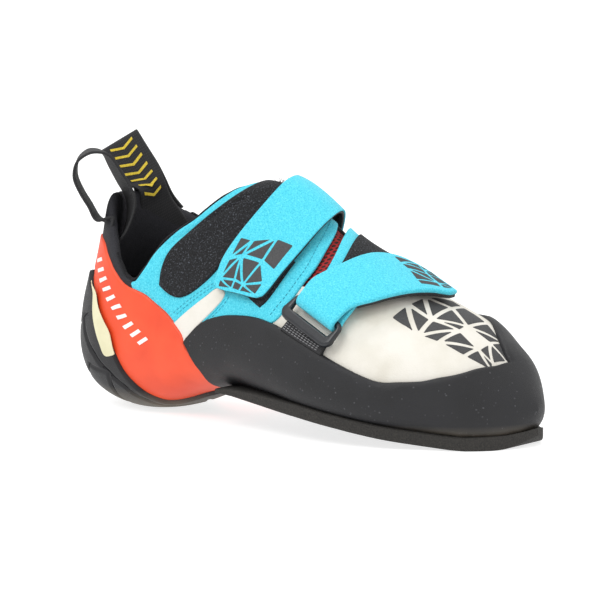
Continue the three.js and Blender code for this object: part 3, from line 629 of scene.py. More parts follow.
def along_path(path, height, steps=400):
    """Evenly spaced places along a path of (u, v) over the last, and how long it is."""
    rows = through(path, np.linspace(0, len(path) - 1, steps))
    points = place(rows[:, 0], rows[:, 1], height)
    length = np.concatenate([[0], np.cumsum(np.linalg.norm(np.diff(points, axis=0), axis=-1))]) / MM

    def at(distance):
        row = [np.interp(distance, length, rows[:, k]) for k in range(2)]
        return place(row[0], row[1], height), outward(row[0], row[1])

    return at, length[-1]


BEAD_SWELL = 0.45, 0.95, 1, 0.95, 0.45
BEAD_DIP = 0.55, 0.1, 0, 0.1, 0.55


def thread(name, paths, height, made, pitch=2.5, stitch=1.7, thick=0.45):
    """Rows of stitches: each a small closed bead that dips into the cloth at both ends."""
    vertices, faces = [], []
    for path in paths:
        at, length = along_path(path, height)
        for n in range(int(length / pitch)):
            start = (n + 0.5) * pitch
            spots = [at(start + stitch * t) for t in (-0.5, -0.3, 0, 0.3, 0.5)]
            way = spots[-1][0] - spots[0][0]
            way /= np.linalg.norm(way)
            first = len(vertices)
            for (middle, out), swell, dip in zip(spots, BEAD_SWELL, BEAD_DIP):
                side = np.cross(out, way)
                centre = middle - out * dip * thick * MM
                for k in range(6):
                    angle = k * math.pi / 3
                    reach = thick / 2 * swell * MM
                    vertices.append(centre + side * math.cos(angle) * reach + out * math.sin(angle) * reach)
            faces += tube_faces(first, 5, 6)
    return dress(new_piece(name, vertices, faces, smooth=70), made)


def cord(name, paths, height, radius, made):
    """Thin closed cords that lie along paths over the last."""
    vertices, faces = [], []
    for path in paths:
        at, length = along_path(path, height)
        count = max(8, int(length / 0.8))
        spots = [at(length * k / (count - 1)) for k in range(count)]
        first = len(vertices)
        for k, (middle, out) in enumerate(spots):
            way = spots[min(k + 1, count - 1)][0] - spots[max(k - 1, 0)][0]
            side = np.cross(out, way / np.linalg.norm(way))
            thin = 0.3 if k in (0, count - 1) else 1
            for j in range(6):
                angle = j * math.pi / 3
                spoke = side * math.cos(angle) + out * math.sin(angle)
                vertices.append(middle + spoke * radius * thin * MM)
        faces += tube_faces(first, count, 6)
    vertices = np.array(vertices)
    vertices[:, 2] = np.maximum(vertices[:, 2], 0.0001)
    return dress(new_piece(name, vertices, faces, smooth=70), made)


quarter_v = np.array([0.262, 0.27, 0.285, 0.3, 0.33, 0.36, 0.4, 0.44, 0.48, 0.52, 0.545])
quarter_u = rim(quarter_v)
quarter_low = [
    [7.4, 0.225], [8.3, 0.235], [9.3, 0.26], [10.2, 0.275], [10.62, 0.3], [10.6, 0.34],
    [10.5, 0.37], [10.36, 0.403], [9.98, 0.446], [9.42, 0.502], [8.95, 0.545],
]
quarter_rows = [[quarter_u[k] + 0.03, quarter_v[k], *quarter_low[k]] for k in range(11)]
dress(panel("quarter_outer", quarter_rows, 0.9, 110, 90, edge=0.7, lift=-0.1), cyan_suede)

cyan_thread = grained(
    "cyan_thread", "strap_suede", (0.05, 0.45, 0.6), (300, 2500), "Pebble",
    [(0.3, (0.012, 0.22, 0.32)), (0.7, (0.04, 0.4, 0.52))],
    roughness=0.6, bump=(0.3, 0.0002),
)
QUARTER_SEAMS = [
    [(10.38, 0.302), (10.37, 0.34), (10.26, 0.37), (10.1, 0.397), (9.7, 0.436), (9.2, 0.483), (8.7, 0.525)],
    [(7.86, 0.326), (7.6, 0.312), (7.36, 0.293), (7.2, 0.275)],
    [(7.78, 0.33), (7.5, 0.315), (7.24, 0.296), (7.08, 0.278)],
    [(8.62, 0.312), (8.66, 0.298), (8.56, 0.28), (8.5, 0.272)],
]
thread("quarter_stitches", QUARTER_SEAMS, 0.98, cyan_thread, pitch=2.2, stitch=1.5, thick=0.36)

# The lining stands a little above the suede along the collar
collar_v = np.linspace(0.2, 0.5, 40)
edge_path = [(u - 0.05, v) for u, v in zip(rim(collar_v), collar_v)]
far_path = [(u, 1 - v) for u, v in zip(rim(1 - collar_v), collar_v)]
cord("collar_edge", [edge_path, far_path], -0.75, 0.85, black_lining)

# A white stripe is let into the outer quarter between the two rubbers
STRIPE = [
    [7.98, 0.320, 8.24, 0.318],
    [7.84, 0.316, 8.38, 0.314],
    [7.74, 0.307, 8.46, 0.306],
    [7.6, 0.296, 8.44, 0.294],
    [7.46, 0.283, 8.34, 0.280],
    [7.34, 0.268, 8.22, 0.262],
    [7.28, 0.255, 8.14, 0.245],
]
dress(panel("white_stripe", STRIPE, 0.7, 60, 16, edge=0.7, lift=0.6), white_vamp)
stripe_border = [
    (7.3, 0.258), (7.36, 0.272), (7.5, 0.286), (7.66, 0.3), (7.77, 0.313), (7.92, 0.3225),
    (8.12, 0.3235), (8.36, 0.319), (8.5, 0.308), (8.5, 0.294), (8.4, 0.279), (8.28, 0.262),
]
cord("stripe_edge", [stripe_border], 0.85, 0.42, cyan_suede)

inner_v = np.array([0.8, 0.77, 0.74, 0.71, 0.68, 0.66, 0.64, 0.62])
inner_u = rim(inner_v)
inner_low = [
    [7.9, 0.86], [8.8, 0.82], [9.6, 0.76], [10.6, 0.72],
    [11.4, 0.68], [11.6, 0.62], [10.8, 0.59], [9.9, 0.57],
]
inner_rows = []
for u, v, low in zip(inner_u, inner_v, inner_low):
    under_band = np.interp(v, [0.71, 0.74, 0.77], [0.03, 0.14, 0.36])
    inner_rows.append([u + under_band, v, *low])
dress(panel("quarter_inner", inner_rows, 0.9, 90, 80, edge=0.7, lift=-0.1), cyan_suede)


# The padded band at the heel: black stretch cloth over foam, wrapped over the rim of the
# collar from the outer side round the back to the big toe side.

black_band = grained(
    "black_stretch_cloth", "upper_leather", (0.03, 0.03, 0.035), (90, 2600), "Pebble",
    [(0.3, (0.006, 0.006, 0.008)), (0.75, (0.026, 0.026, 0.033))],
    roughness=0.85, bump=(0.6, 0.0005),
)

# Across the band, from outside to inside: rings below the rim and height over the last
BAND_PROFILE = np.array([
    [2.4, 0.2], [1.8, 0.9], [1.0, 1.2], [0.45, 1.2], [0.15, 0.8], [0.0, -0.4],
    [0.02, -2.2], [0.2, -3.8], [0.7, -4.6], [1.5, -4.4], [2.4, -2.6],
])


def band(name, v_from, v_to, steps):
    """A closed roll that follows the rim, with the band's profile across it."""
    v = np.linspace(v_from, v_to, steps)
    start = rim(v % 1)
    profile = through(BAND_PROFILE, np.linspace(0, len(BAND_PROFILE) - 1, 34))
    u = start[:, None] + profile[None, :, 0]
    vv = np.broadcast_to(v[:, None], u.shape)
    points = place(u, vv, np.broadcast_to(profile[None, :, 1], u.shape), False)
    n, m = points.shape[:2]
    index = np.arange(n * m).reshape(n, m)
    right = np.roll(index, -1, axis=1)
    faces = np.stack([index[:-1], index[1:], right[1:], right[:-1]], -1).reshape(-1, 4).tolist()
    faces += [index[0].tolist(), index[-1][::-1].tolist()]
    return new_piece(name, points.reshape(-1, 3), faces, smooth=60)


heel_band = dress(band("heel_band", -0.26, 0.262, 90), black_band)


# The tongue: red hexagon mesh with a black edge, under the throat between the quarters.

red_mesh, shader, add, links = material("red_hexagon_mesh", "tongue_mesh", (0.6, 0.05, 0.05))
cell = 0.027
tall = math.sqrt(3)
coordinates = add("ShaderNodeUVMap", uv_map="cut")
apart = []
for shift in (0, 0.5):
    moved = add("ShaderNodeVectorMath", {
        0: coordinates.outputs["UV"],
        1: (1 / cell, 1 / cell, 0),
        2: (40 + shift, 40 * tall + shift * tall, 0),
    }, operation="MULTIPLY_ADD")
    tile = add("ShaderNodeVectorMath", {0: moved.outputs[0], 1: (1, tall, 1)}, operation="MODULO")
    inside = add("ShaderNodeVectorMath", {0: tile.outputs[0], 1: (0.5, tall / 2, 0)}, operation="SUBTRACT")
    apart.append(add("ShaderNodeVectorMath", {0: inside.outputs[0]}, operation="LENGTH").outputs["Value"])
nearest = add("ShaderNodeMath", {0: apart[0], 1: apart[1]}, operation="MINIMUM")
hole = add("ShaderNodeMapRange", {"Value": nearest.outputs[0], "From Min": 0.26, "From Max": 0.36})
mesh_colour = ramp(add, hole.outputs[0], [(0, (0.02, 0.001, 0.001)), (1, (0.34, 0.008, 0.008))])
links.new(mesh_colour, shader.inputs["Base Color"])
shader.inputs["Roughness"].default_value = 0.8
bumped(add, links, shader, hole.outputs[0], 0.8, 0.0008)
tongue_rows = [
    [3.5, 0.52, 3.7, 0.65],
    [5, 0.52, 5.2, 0.65],
    [7.2, 0.51, 8, 0.63],
    [8.8, 0.49, 9.9, 0.6],
    [9.7, 0.41, 11.3, 0.53],
    [10.0, 0.36, 11.6, 0.44],
    [10.2, 0.32, 11.4, 0.35],
]
dress(panel("tongue_mesh_panel", tongue_rows, 1.3, 70, 24, lift=-2.6), red_mesh, "tongue")
binding_v = np.linspace(0.37, 0.66, 9)
binding_u = rim(binding_v)
binding_rows = [[binding_u[k] - 0.1, binding_v[k], binding_u[k] + 0.6, binding_v[k]] for k in range(9)]
dress(panel("tongue_binding", binding_rows, 2.4, 60, 10, edge=1.2, lift=-2.5), black_band)
edge_rows = [[8.35, 0.53, 8.75, 0.55], [8.7, 0.535, 9.2, 0.56], [9.1, 0.522, 9.65, 0.55]]
dress(panel("throat_binding", edge_rows, 1.5, 24, 8, edge=0.7, lift=-1.4), black_band)


# The insole board, seen only through the collar, in dark cloth.

insole_cloth = grained(
    "insole_cloth", "insole_cloth", (0.03, 0.03, 0.03), (80, 1800), "Pebble",
    [(0.3, (0.012, 0.012, 0.013)), (0.8, (0.045, 0.045, 0.047))],
    roughness=0.9, bump=(0.5, 0.0005),
)
insole_rows = [[u, -0.085, u, 0.085] for u in (6, 7, 8, 10, 12, 14, 16, 17.2)]
dress(panel("insole_board", insole_rows, 1.6, 70, 16, lift=-4.2), insole_cloth, "insole")


# The toe rand: one black rubber shell pulled over the toe and along both sides up to the
# arch, with a thin skived upper edge. It meets the heel rand's slanting edge.

black_rubber, shader, add, links = material("black_rubber", "rand_rubber", (0.03, 0.03, 0.033))
texture = with_grain(add, 70, 2400)
dust = add("ShaderNodeMapRange", {
    "Value": texture.outputs["Speck"], "From Min": 0.988, "From Max": 1.0, "To Max": 0.5,
})
base = ramp(add, texture.outputs["Cloud"], [(0.3, (0.004, 0.004, 0.005)), (0.7, (0.010, 0.010, 0.012))])
mixed = add("ShaderNodeMix", {
    "Factor": dust.outputs[0], "A": base, "B": (0.09, 0.09, 0.1, 1),
}, data_type="RGBA")
height = add("ShaderNodeSeparateXYZ", {"Vector": add("ShaderNodeTexCoord").outputs["Object"]})
low = add("ShaderNodeMapRange", {
    "Value": height.outputs["Z"], "From Min": 0.002, "From Max": 0.011, "To Min": 0.8, "To Max": 0,
})
patchy = add("ShaderNodeMath", {0: low.outputs[0], 1: texture.outputs["Cloud"]}, operation="MULTIPLY")
dusty = add("ShaderNodeMix", {
    "Factor": patchy.outputs[0], "A": mixed.outputs["Result"], "B": (0.27, 0.23, 0.17, 1),
}, data_type="RGBA")
links.new(dusty.outputs["Result"], shader.inputs["Base Color"])
links.new(ramp(add, texture.outputs["Cloud"], [(0.3, (0.46,)), (0.7, (0.62,))]), shader.inputs["Roughness"])
shader.inputs["Specular IOR Level"].default_value = 0.4
bumped(add, links, shader, texture.outputs["Pebble"], 0.35, 0.0004)

# Rings of the two halves' shared seam over the toe, at the top and under the foot
RAND_TIP = [(17.3, 17.4), (17.8, 17.9), (18.4, 18.5), (19.2, 19.2), (20, 20)]
RAND_OUTER = [
    [8.14, 0.252, 8.14, 0.246],
    [8.33, 0.274, 8.5, 0.228],
    [8.9, 0.284, 8.95, 0.19],
    [9.52, 0.289, 9.25, 0.15],
    [10.0, 0.292, 9.4, 0.08],
    [10.5, 0.293, 9.48, 0.02],
    [11.0, 0.291, 10.2, 0.0],
    [12.24, 0.276, 11.6, 0.0],
    [12.9, 0.267, 12.6, 0.0],
    [13.81, 0.253, 13.7, 0.0],
    [14.38, 0.26, 14.38, 0.0],
    [14.95, 0.271, 14.95, 0.0],
    [15.38, 0.288, 15.4, 0.0],
    [15.95, 0.315, 15.95, 0.0],
    [16.43, 0.349, 16.5, 0.0],
    [17.05, 0.411, 17.05, 0.0],
    *[[top, 0.485, low, 0.0] for top, low in RAND_TIP],
]
RAND_INNER = [
    [8.35, 0.745, 8.4, 0.748],
    [8.8, 0.73, 8.8, 0.8],
    [9.3, 0.724, 9.2, 0.85],
    [9.8, 0.718, 9.4, 0.93],
    [10.3, 0.712, 9.5, 0.98],
    [11.0, 0.7, 10.3, 1.0],
    [12, 0.685, 11.6, 1.0],
    [13, 0.655, 12.8, 1.0],
    [14, 0.618, 14, 1.0],
    [15, 0.57, 15, 1.0],
    [15.6, 0.545, 15.6, 1.0],
    [16.2, 0.52, 16.2, 1.0],
    [16.8, 0.497, 16.8, 1.0],
    *[[top, 0.485, low, 1.0] for top, low in RAND_TIP],
]
RAND_THICK = 2.3
RAND_JOIN = 17.3


def rand_half(rows, steps):
    """Points of one side of the rand: the outer skin, thin along the free upper edge."""
    rows = np.asarray(rows)
    s = np.linspace(0, len(rows) - 1, steps)
    line = through(rows, s)
    t = spaced(100, 1.6, 44)[None, :]
    u, v = between(line, t)
    skin = surface(u, v)
    from_top = np.linalg.norm(skin - skin[:, :1], axis=-1)
    from_start = np.linalg.norm(skin - skin[:1], axis=-1)
    free = line[:, 0:1] < RAND_JOIN - 0.05
    edge = np.where(free, np.clip(from_top / 2.2, 0, 1), 1)
    edge = np.minimum(edge, np.clip(from_start / 1.5 + 0.3, 0, 1))
    height = RAND_THICK * (0.25 + 0.75 * np.sqrt(1 - (1 - edge) ** 2))
    height = np.where(free & (t == 0), 0.0, height)
    return place(u, v, height, False), place(u, v, np.zeros(u.shape), False)


def rand_mesh():
    """Points and faces of the whole rand, both halves with an outer and an inner skin."""
    vertices, faces = [], []
    count = 0
    for rows, flip in ((RAND_OUTER, True), (RAND_INNER, False)):
        outer, inner = rand_half(rows, 150)
        n, m = outer.shape[:2]
        for points, turned in ((outer, flip), (inner, not flip)):
            vertices.append(points.reshape(-1, 3))
            faces += grid_faces(n, m, count, turned)
            count += n * m
    return np.concatenate(vertices), faces


rand_points, rand_faces = rand_mesh()
dress(new_piece("toe_rand_shell", rand_points, rand_faces, smooth=50), black_rubber, "toe_rand")


# The outsole: a slab of climbing rubber cut to the outline of the shoe and ground at its edge.

sole_rubber = grained(
    "sole_rubber", "sole_rubber", (0.03, 0.028, 0.025), (140, 1500, 1.2), "Pebble",
    [(0.3, (0.010, 0.009, 0.008)), (0.75, (0.036, 0.032, 0.027))],
    roughness=0.8, bump=(0.7, 0.0006),
)

SOLE = np.array([
    [41, 15.4, 0.35], [45, 15, 0.6], [52, 13.3, 0.85], [62.5, 10.4, 1], [71.7, 7.4, 1], [80, 4.2, 1],
    [87, 1.7, 1], [91, 0.5, 1], [93.5, 0, 1], [98.5, 0, 1.05], [100.4, 0.9, 1.1], [102.5, 3.4, 1.1],
]) * [LAST_LENGTH / 100, HEEL_HEIGHT / 100, 6]
SOLE_OFF = 2.2
SOLE_CURL = 3.2


def sole_mesh():
    """Points and faces of the slab between the shoe's two sides, thin and raised at the tip."""
    u = np.linspace(9.6, TOE, 200)
    sides = [(surface(u, v) + outward(u, v) * SOLE_OFF) for v in (0.15, 0.85)]
    tip = max(side[:, 0].max() for side in sides)
    start = SOLE[0, 0]
    x = start + (tip - start) * np.sin(np.linspace(0, 1, 90) * np.pi / 2) ** 0.9
    borders = []
    for side in sides:
        ordered = np.maximum.accumulate(side[:, 0])
        borders.append(np.interp(x, ordered + np.arange(ordered.size) * 1e-6, side[:, 1]))
    low = np.interp(x, SOLE[:, 0], SOLE[:, 1])
    thick = np.interp(x, SOLE[:, 0], SOLE[:, 2])
    curl = SOLE_CURL * np.clip((x - (tip - 10)) / 10, 0, 1) ** 2
    low, thick = low + curl, thick - curl
    share = np.concatenate([[0, 0.004, 0.012], np.linspace(0.03, 0.97, 24), [0.988, 0.996, 1]])
    rounding = np.interp(np.minimum(share, 1 - share), [0, 0.004, 0.012, 0.03], [0.9, 0.35, 0.08, 0])
    y = borders[0][:, None] * (1 - share) + borders[1][:, None] * share
    bottom = np.stack([np.broadcast_to(x[:, None], y.shape), y, low[:, None] + rounding], -1)
    top = np.stack([np.broadcast_to(x[:, None], y.shape), y, (low + thick)[:, None] - rounding * 0.6], -1)
    n, m = y.shape
    faces = grid_faces(n, m, 0, False) + grid_faces(n, m, n * m, True)
    index = np.arange(n * m).reshape(n, m)
    for line in (index[:, 0], index[::-1, -1], index[0, ::-1], index[-1, :]):
        for a, b in zip(line[:-1], line[1:]):
            faces.append([int(a), int(b), int(b + n * m), int(a + n * m)])
    points = np.concatenate([bottom.reshape(-1, 3), top.reshape(-1, 3)])
    return (points - FLOOR_MIDDLE) * MM, faces


sole_points, sole_faces = sole_mesh()
dress(new_piece("outsole_slab", sole_points, sole_faces, smooth=45), sole_rubber, "outsole")


# The heel rand: smooth orange-red rubber stretched round the back of the heel and down both
# sides to the arch, where it pulls the foot forward.

orange_rubber = grained(
    "orange_rubber", "heel_rand_rubber", (0.95, 0.12, 0.05), (60, 1800), "Cloud",
    [(0.3, (0.66, 0.05, 0.009)), (0.7, (0.77, 0.072, 0.016))],
    roughness=0.5, bump=(0.15, 0.0003),
)

HEEL_RAND_ROWS = [
    [1.8, 0.0, 2.95, 0.0],
    [1.8, 0.05, 2.92, 0.06],
    [1.8, 0.096, 2.75, 0.115],
    [2.2, 0.148, 3.05, 0.135],
    [2.8, 0.18, 3.6, 0.152],
    [3.5, 0.21, 4.24, 0.186],
    [4.2, 0.237, 5.0, 0.205],
    [5.0, 0.261, 5.7, 0.211],
    [5.7, 0.275, 6.3, 0.199],
    [6.4, 0.278, 6.81, 0.176],
    [7.0, 0.275, 7.28, 0.149],
    [7.6, 0.264, 7.71, 0.111],
    [8.05, 0.249, 8.0, 0.078],
    [8.71, 0.212, 8.48, 0.052],
    [9.24, 0.16, 8.95, 0.041],
    [9.4, 0.085, 9.2, 0.036],
    [9.45, 0.03, 9.38, 0.03],
]
LAP = 0.012


def both_sides(rows):
    """Rows that run from the big toe side round the back of the heel to the outer side."""
    mirrored = [[a, -b, c, -d] for a, b, c, d in reversed(rows[1:])]
    return mirrored + rows


lapped = [[a, b, c + 0.05, d - LAP * (d > LAP)] for a, b, c, d in HEEL_RAND_ROWS]
heel_rand = panel("heel_rand_band", both_sides(lapped), 2.0, 190, 30, edge=1.0, lift=0.1, leather=False)
dress(heel_rand, orange_rubber, "heel_rand")


BAR_THICK = 0.4


def tile_faces(first):
    """Faces of a thin closed tile of three cross rows, each with two lower and two upper corners."""
    corners = []
    for row in (0, 4):
        for face in ((1, 3, 7, 5), (0, 4, 6, 2), (0, 1, 5, 4), (2, 6, 7, 3)):
            corners.append([row + k for k in face])
    corners += [(0, 2, 3, 1), (8, 9, 11, 10)]
    return [[first + k for k in face] for face in corners]


def bars(name, path, height, tall, wide, apart, slant, made):
    """A row of slanted printed bars across a path over the last, each a thin closed tile."""
    at, length = along_path(path, height)
    vertices, faces = [], []
    for n in range(int(length / apart)):
        first = len(vertices)
        middle = (n + 0.5) * apart
        for across in (-0.5, 0, 0.5):
            for along in (-0.5, 0.5):
                point, out = at(middle + along * wide + across * slant)
                ahead = at(middle + along * wide + across * slant + 0.5)[0] - point
                side = np.cross(out, ahead / np.linalg.norm(ahead))
                spot = point + side * across * tall * MM
                vertices += [spot, spot + out * BAR_THICK * MM]
        faces += tile_faces(first)
    return dress(new_piece(name, vertices, faces, smooth=25), made)


white_print = grained(
    "white_print", "heel_rand_rubber", (0.9, 0.9, 0.88), (120, 1800), "Cloud",
    [(0.3, (0.74, 0.71, 0.68)), (0.7, (0.84, 0.82, 0.8))],
    roughness=0.5, bump=(0.15, 0.0002),
)
BARS_PATH = [
    (2.6, 0.14), (2.9, 0.154), (3.6, 0.184), (4.29, 0.211),
    (5.14, 0.234), (6, 0.24), (6.7, 0.238), (7.35, 0.228),
]
bars("rand_bars", BARS_PATH, 2.0, 5.4, 2.0, 5.6, 2.6, white_print)


# The heel rubber: a thick black cup glued under and behind the heel, with a cream insert on
# each side and shallow moulded grooves.

HEEL_CUP = [
    (2.9, 0.11), (3.4, 0.14), (4.24, 0.181), (5.09, 0.2), (5.7, 0.206), (6.33, 0.193), (6.81, 0.171),
    (7.28, 0.145), (7.71, 0.107), (8.05, 0.07), (8.5, 0.046), (8.95, 0.035), (9.3, 0.028),
]
GROOVES = [
    [(4.45, 0.0), (4.43, 0.14), (4.8, 0.195)],
    [(4.5, 0.142), (5.76, 0.158), (6.43, 0.154)],
    [(5.75, 0.0), (5.67, 0.121), (6.43, 0.154), (6.6, 0.119), (6.86, 0.062), (6.9, 0.0)],
    [(6.43, 0.154), (7.0, 0.137), (7.57, 0.1), (7.9, 0.061), (8.4, 0.0)],
]
GROOVE_DEPTH = 0.9
GROOVE_REACH = 1.5


def groove_depth(u, v):
    """How deep the moulded grooves are at each (u, v), the same on both sides."""
    spot = np.stack([u * RING_MM, np.abs(v) * ROUND_MM], -1)
    depth = np.zeros(u.shape)
    for line in GROOVES:
        for start, end in zip(line[:-1], line[1:]):
            away = away_from_line(spot, *start, *end)
            depth = np.minimum(depth, -GROOVE_DEPTH * np.clip(GROOVE_REACH - away, 0, 1))
    return depth


heel_rubber = panel(
    "heel_rubber_cup", [[u, -v, u, v] for u, v in HEEL_CUP], 3.9, 190, 190, edge=1.2, lift=0.1,
    relief=groove_depth, leather=False, floor=True,
)
dress(heel_rubber, black_rubber, "heel_rubber")

# Matte black cords along the bottoms of the moulded grooves: painted shade in the grooves, not a part of the
# rubber.
groove_paths = []
for line in GROOVES:
    groove_paths += [line, [(u, -v) for u, v in line]]
cord("heel_groove_painted_shade", groove_paths, 3.05, 0.5, black_lining)

cream_rubber = grained(
    "cream_rubber", "rand_rubber", (0.72, 0.68, 0.45), (90, 1500), "Cloud",
    [(0.3, (0.58, 0.55, 0.35)), (0.7, (0.7, 0.67, 0.46))],
    roughness=0.7, bump=(0.3, 0.0003),
)
for side, name in ((1, "cream_insert_outer"), (-1, "cream_insert_inner")):
    rows = [
        [3.5, 0.15 * side, 3.52, 0.149 * side],
        [4.05, 0.172 * side, 4.1, 0.182 * side],
        [4.6, 0.18 * side, 4.6, 0.196 * side],
        [5.2, 0.184 * side, 5.2, 0.208 * side],
        [5.71, 0.183 * side, 5.8, 0.212 * side],
        [6.1, 0.178 * side, 6.3, 0.197 * side],
        [6.32, 0.19 * side, 6.34, 0.192 * side],
    ]
    dress(panel(name, rows, 0.5, 60, 8, edge=0.5, lift=3.6, leather=False), cream_rubber)


# The pile patch: black loop pile sewn on the outer quarter, under the top strap's hook side,
# with a small corner of it by the throat and loose threads where cloth is cut.

# The pile's colour is a random dark fibre tone, and its bluish top stop is painted highlight: glints of light
# on the loops.
black_pile = grained(
    "black_pile", "strap_suede", (0.02, 0.02, 0.022), (260, 1500, 1.0), "Pebble",
    [(0.42, (0.001, 0.001, 0.002)), (0.58, (0.010, 0.011, 0.014)), (0.7, (0.09, 0.1, 0.12))],
    roughness=0.9, bump=(1.0, 0.0012),
)
PILE_ROWS = [
    [5.45, 0.303, 5.9, 0.293],
    [4.95, 0.318, 6.9, 0.296],
    [4.7, 0.345, 7.3, 0.318],
    [4.55, 0.385, 7.35, 0.35],
    [4.3, 0.43, 7.1, 0.4],
    [4.1, 0.475, 6.7, 0.46],
    [4.05, 0.515, 6.3, 0.515],
]
dress(panel("pile_patch", PILE_ROWS, 1.3, 80, 40, edge=0.9, lift=0.7), black_pile)
PILE_CORNER = [
    [8.7, 0.325, 9.92, 0.3075],
    [8.7, 0.335, 9.98, 0.322],
    [8.7, 0.36, 9.9, 0.35],
    [8.6, 0.4, 9.7, 0.39],
]
dress(panel("pile_corner", PILE_CORNER, 1.2, 30, 20, edge=0.9, lift=0.7), black_pile)


def frayed(name, u, v, root_height, count, reach, made, seed):
    """Loose threads at a cut edge of cloth, each a thin bent hair rooted in it."""
    dice = random.Random(seed)
    vertices, faces = [], []
    for n in range(count):
        t = n / max(count - 1, 1)
        root = place(u[0] + (u[1] - u[0]) * t, v[0] + (v[1] - v[0]) * t, root_height)
        out = outward(u[0], v[0])
        way = out * 0.8 + np.array([dice.uniform(-0.6, 0.6), dice.uniform(-0.4, 0.4), dice.uniform(0.1, 0.7)])
        bend = np.array([dice.uniform(-0.5, 0.5), dice.uniform(-0.3, 0.3), dice.uniform(-0.4, 0.2)])
        tall = reach * dice.uniform(0.4, 1)
        first = len(vertices)
        for k in range(6):
            share = k / 5
            middle = root + (way * share + bend * share * share) * tall * MM
            radius = 0.17 * (1 - 0.5 * share) * MM
            for angle in (0, 2.1, 4.2):
                vertices.append(middle + np.array([math.cos(angle), math.sin(angle), 0]) * radius)
        faces += tube_faces(first, 6, 3)
    return dress(new_piece(name, vertices, faces, smooth=70), made)


frayed("toe_threads", (17.3, 16.9), (0.392, 0.374), -0.3, 9, 1.8, white_vamp, 6)
frayed("pile_threads", (5.3, 6.3), (0.5, 0.505), 0.9, 16, 3.4, black_pile, 4)


# The top strap: cyan suede backed with black hook tape, from a seam on the big toe side over
# the instep to its free tip on the outer side.

STRAP_THICK = 2.2


def ribbon(name, stations, thick, long_steps, cross_steps, edge=0.6, side=None):
    """A strap through rows of points across it. side keeps one face of it, top or bottom."""
    stations = np.asarray(stations, float)
    flat = stations.reshape(len(stations), -1)
    fine = through(flat, np.linspace(0, len(stations) - 1, 400)).reshape(400, -1, 3)
    middle = fine.mean(axis=1)
    reach = np.concatenate([[0], np.cumsum(np.linalg.norm(np.diff(middle, axis=0), axis=-1))])
    width = np.linalg.norm(fine[:, -1] - fine[:, 0], axis=-1).max() / MM
    s = spaced(reach[-1] / MM, edge, long_steps) * reach[-1]
    place_s = np.interp(s, reach, np.linspace(0, len(stations) - 1, 400))
    lines = through(flat, place_s).reshape(len(s), -1, 3)
    t = spaced(width, edge, cross_steps) * (lines.shape[1] - 1)
    points = through(np.moveaxis(lines, 1, 0).reshape(lines.shape[1], -1), t).reshape(len(t), len(s), 3)
    points = np.moveaxis(points, 0, 1)
    normals = np.cross(np.gradient(points, axis=0), np.gradient(points, axis=1))
    normals /= np.maximum(np.linalg.norm(normals, axis=-1, keepdims=True), 1e-12)
    low, high = {None: (-0.5, 0.5), "top": (-0.05, 0.5), "bottom": (-0.5, -0.05)}[side]
    shape = points.shape[:2]
    heights = np.full(shape, low * thick), np.full(shape, high * thick)
    vertices, faces, uv = sheet_grid(points, normals, *heights, edge, False)
    return new_piece(name, vertices, faces, uv, smooth=60)


def lines_over(rows, thick, parts=6):
    """Rows of points across a strap that lies at a height over the last."""
    rows = np.asarray(rows, float)
    t = np.linspace(0, 1, parts + 1)[None, :]
    u, v = between(rows, t)
    return place(u, v, rows[:, 4:5] + thick / 2 + 0 * u, False)


black_hook = grained(
    "black_hook_tape", "strap_suede", (0.02, 0.02, 0.02), (300, 2600, 1.2), "Pebble",
    [(0.35, (0.004, 0.004, 0.004)), (0.7, (0.05, 0.05, 0.055))],
    roughness=0.6, bump=(1.0, 0.0008),
)

TOP_STRAP = [
    [8.6, 0.316, 9.4, 0.316, 2.6],
    [8.0, 0.319, 9.85, 0.319, 2.6],
    [7.75, 0.33, 9.93, 0.332, 2.6],
    [7.4, 0.352, 9.85, 0.362, 2.8],
    [7.15, 0.382, 9.7, 0.4, 3.1],
    [6.85, 0.43, 9.4, 0.45, 4.4],
    [6.5, 0.475, 9.1, 0.495, 5.4],
    [6.25, 0.52, 8.9, 0.53, 5.4],
    [6.15, 0.56, 8.8, 0.565, 3.8],
    [6.1, 0.61, 8.75, 0.61, 1.8],
    [6.1, 0.66, 8.7, 0.66, 0.8],
    [6.1, 0.71, 8.65, 0.7, 0.5],
]
top_lines = lines_over(TOP_STRAP, STRAP_THICK)
dress(ribbon("top_strap_suede", top_lines, STRAP_THICK, 90, 26, side="bottom"), cyan_suede, "top_strap")
dress(ribbon("top_strap_hook", top_lines, STRAP_THICK, 90, 26, side="top"), black_hook)


def over_strap(rows, first, last, from_share, to_share, length, width):
    """Places on the upper face of a strap, from millimetres along and across."""
    rows = np.asarray(rows, float)

    def over(a, b, height):
        row = through(rows, first + (last - first) * a / length)
        t = from_share + (to_share - from_share) * b / width
        u = row[0] * (1 - t) + row[2] * t
        v = row[1] * (1 - t) + row[3] * t
        return place(u, v, row[4] + STRAP_THICK + height, False)

    return over


tip_print = over_strap(TOP_STRAP, 1.05, 4.2, 0.07, 0.9, 25, 29)
dress(facets("strap_tip_facets", tip_print, 25, 29, 9, 1.3, 14, skip=0.08), printed_grey)


# The buckle: a black plastic ring held by a folded tab of webbing that is sewn to the vamp.

RING_LENGTH = 32
RING_REACH = 11.4
RING_WIRE = 2.8
RING_CORNER = 2.6
NEAR_BAR = 4.4
TAB_WIDTH = 24
WEBBING = 1.3
GAP = 0.3
LOWER_THICK = 2.2

ring_lift = GAP + LOWER_THICK + GAP + RING_WIRE / 2
ring_out = outward(11.75, 0.322)
ring_along = surface(12.5, 0.313) - surface(11, 0.332)
ring_along -= ring_out * (ring_along @ ring_out)
ring_along /= np.linalg.norm(ring_along)
ring_up = np.cross(ring_out, ring_along)
ring_up *= np.sign(ring_up[2])
ring_middle = surface(11.75, 0.322) + ring_out * ring_lift


def by_ring(a, b, c):
    """A point in metres from places along, up and out of the ring, in millimetres."""
    return (ring_middle + ring_along * a + ring_up * b + ring_out * c - FLOOR_MIDDLE) * MM


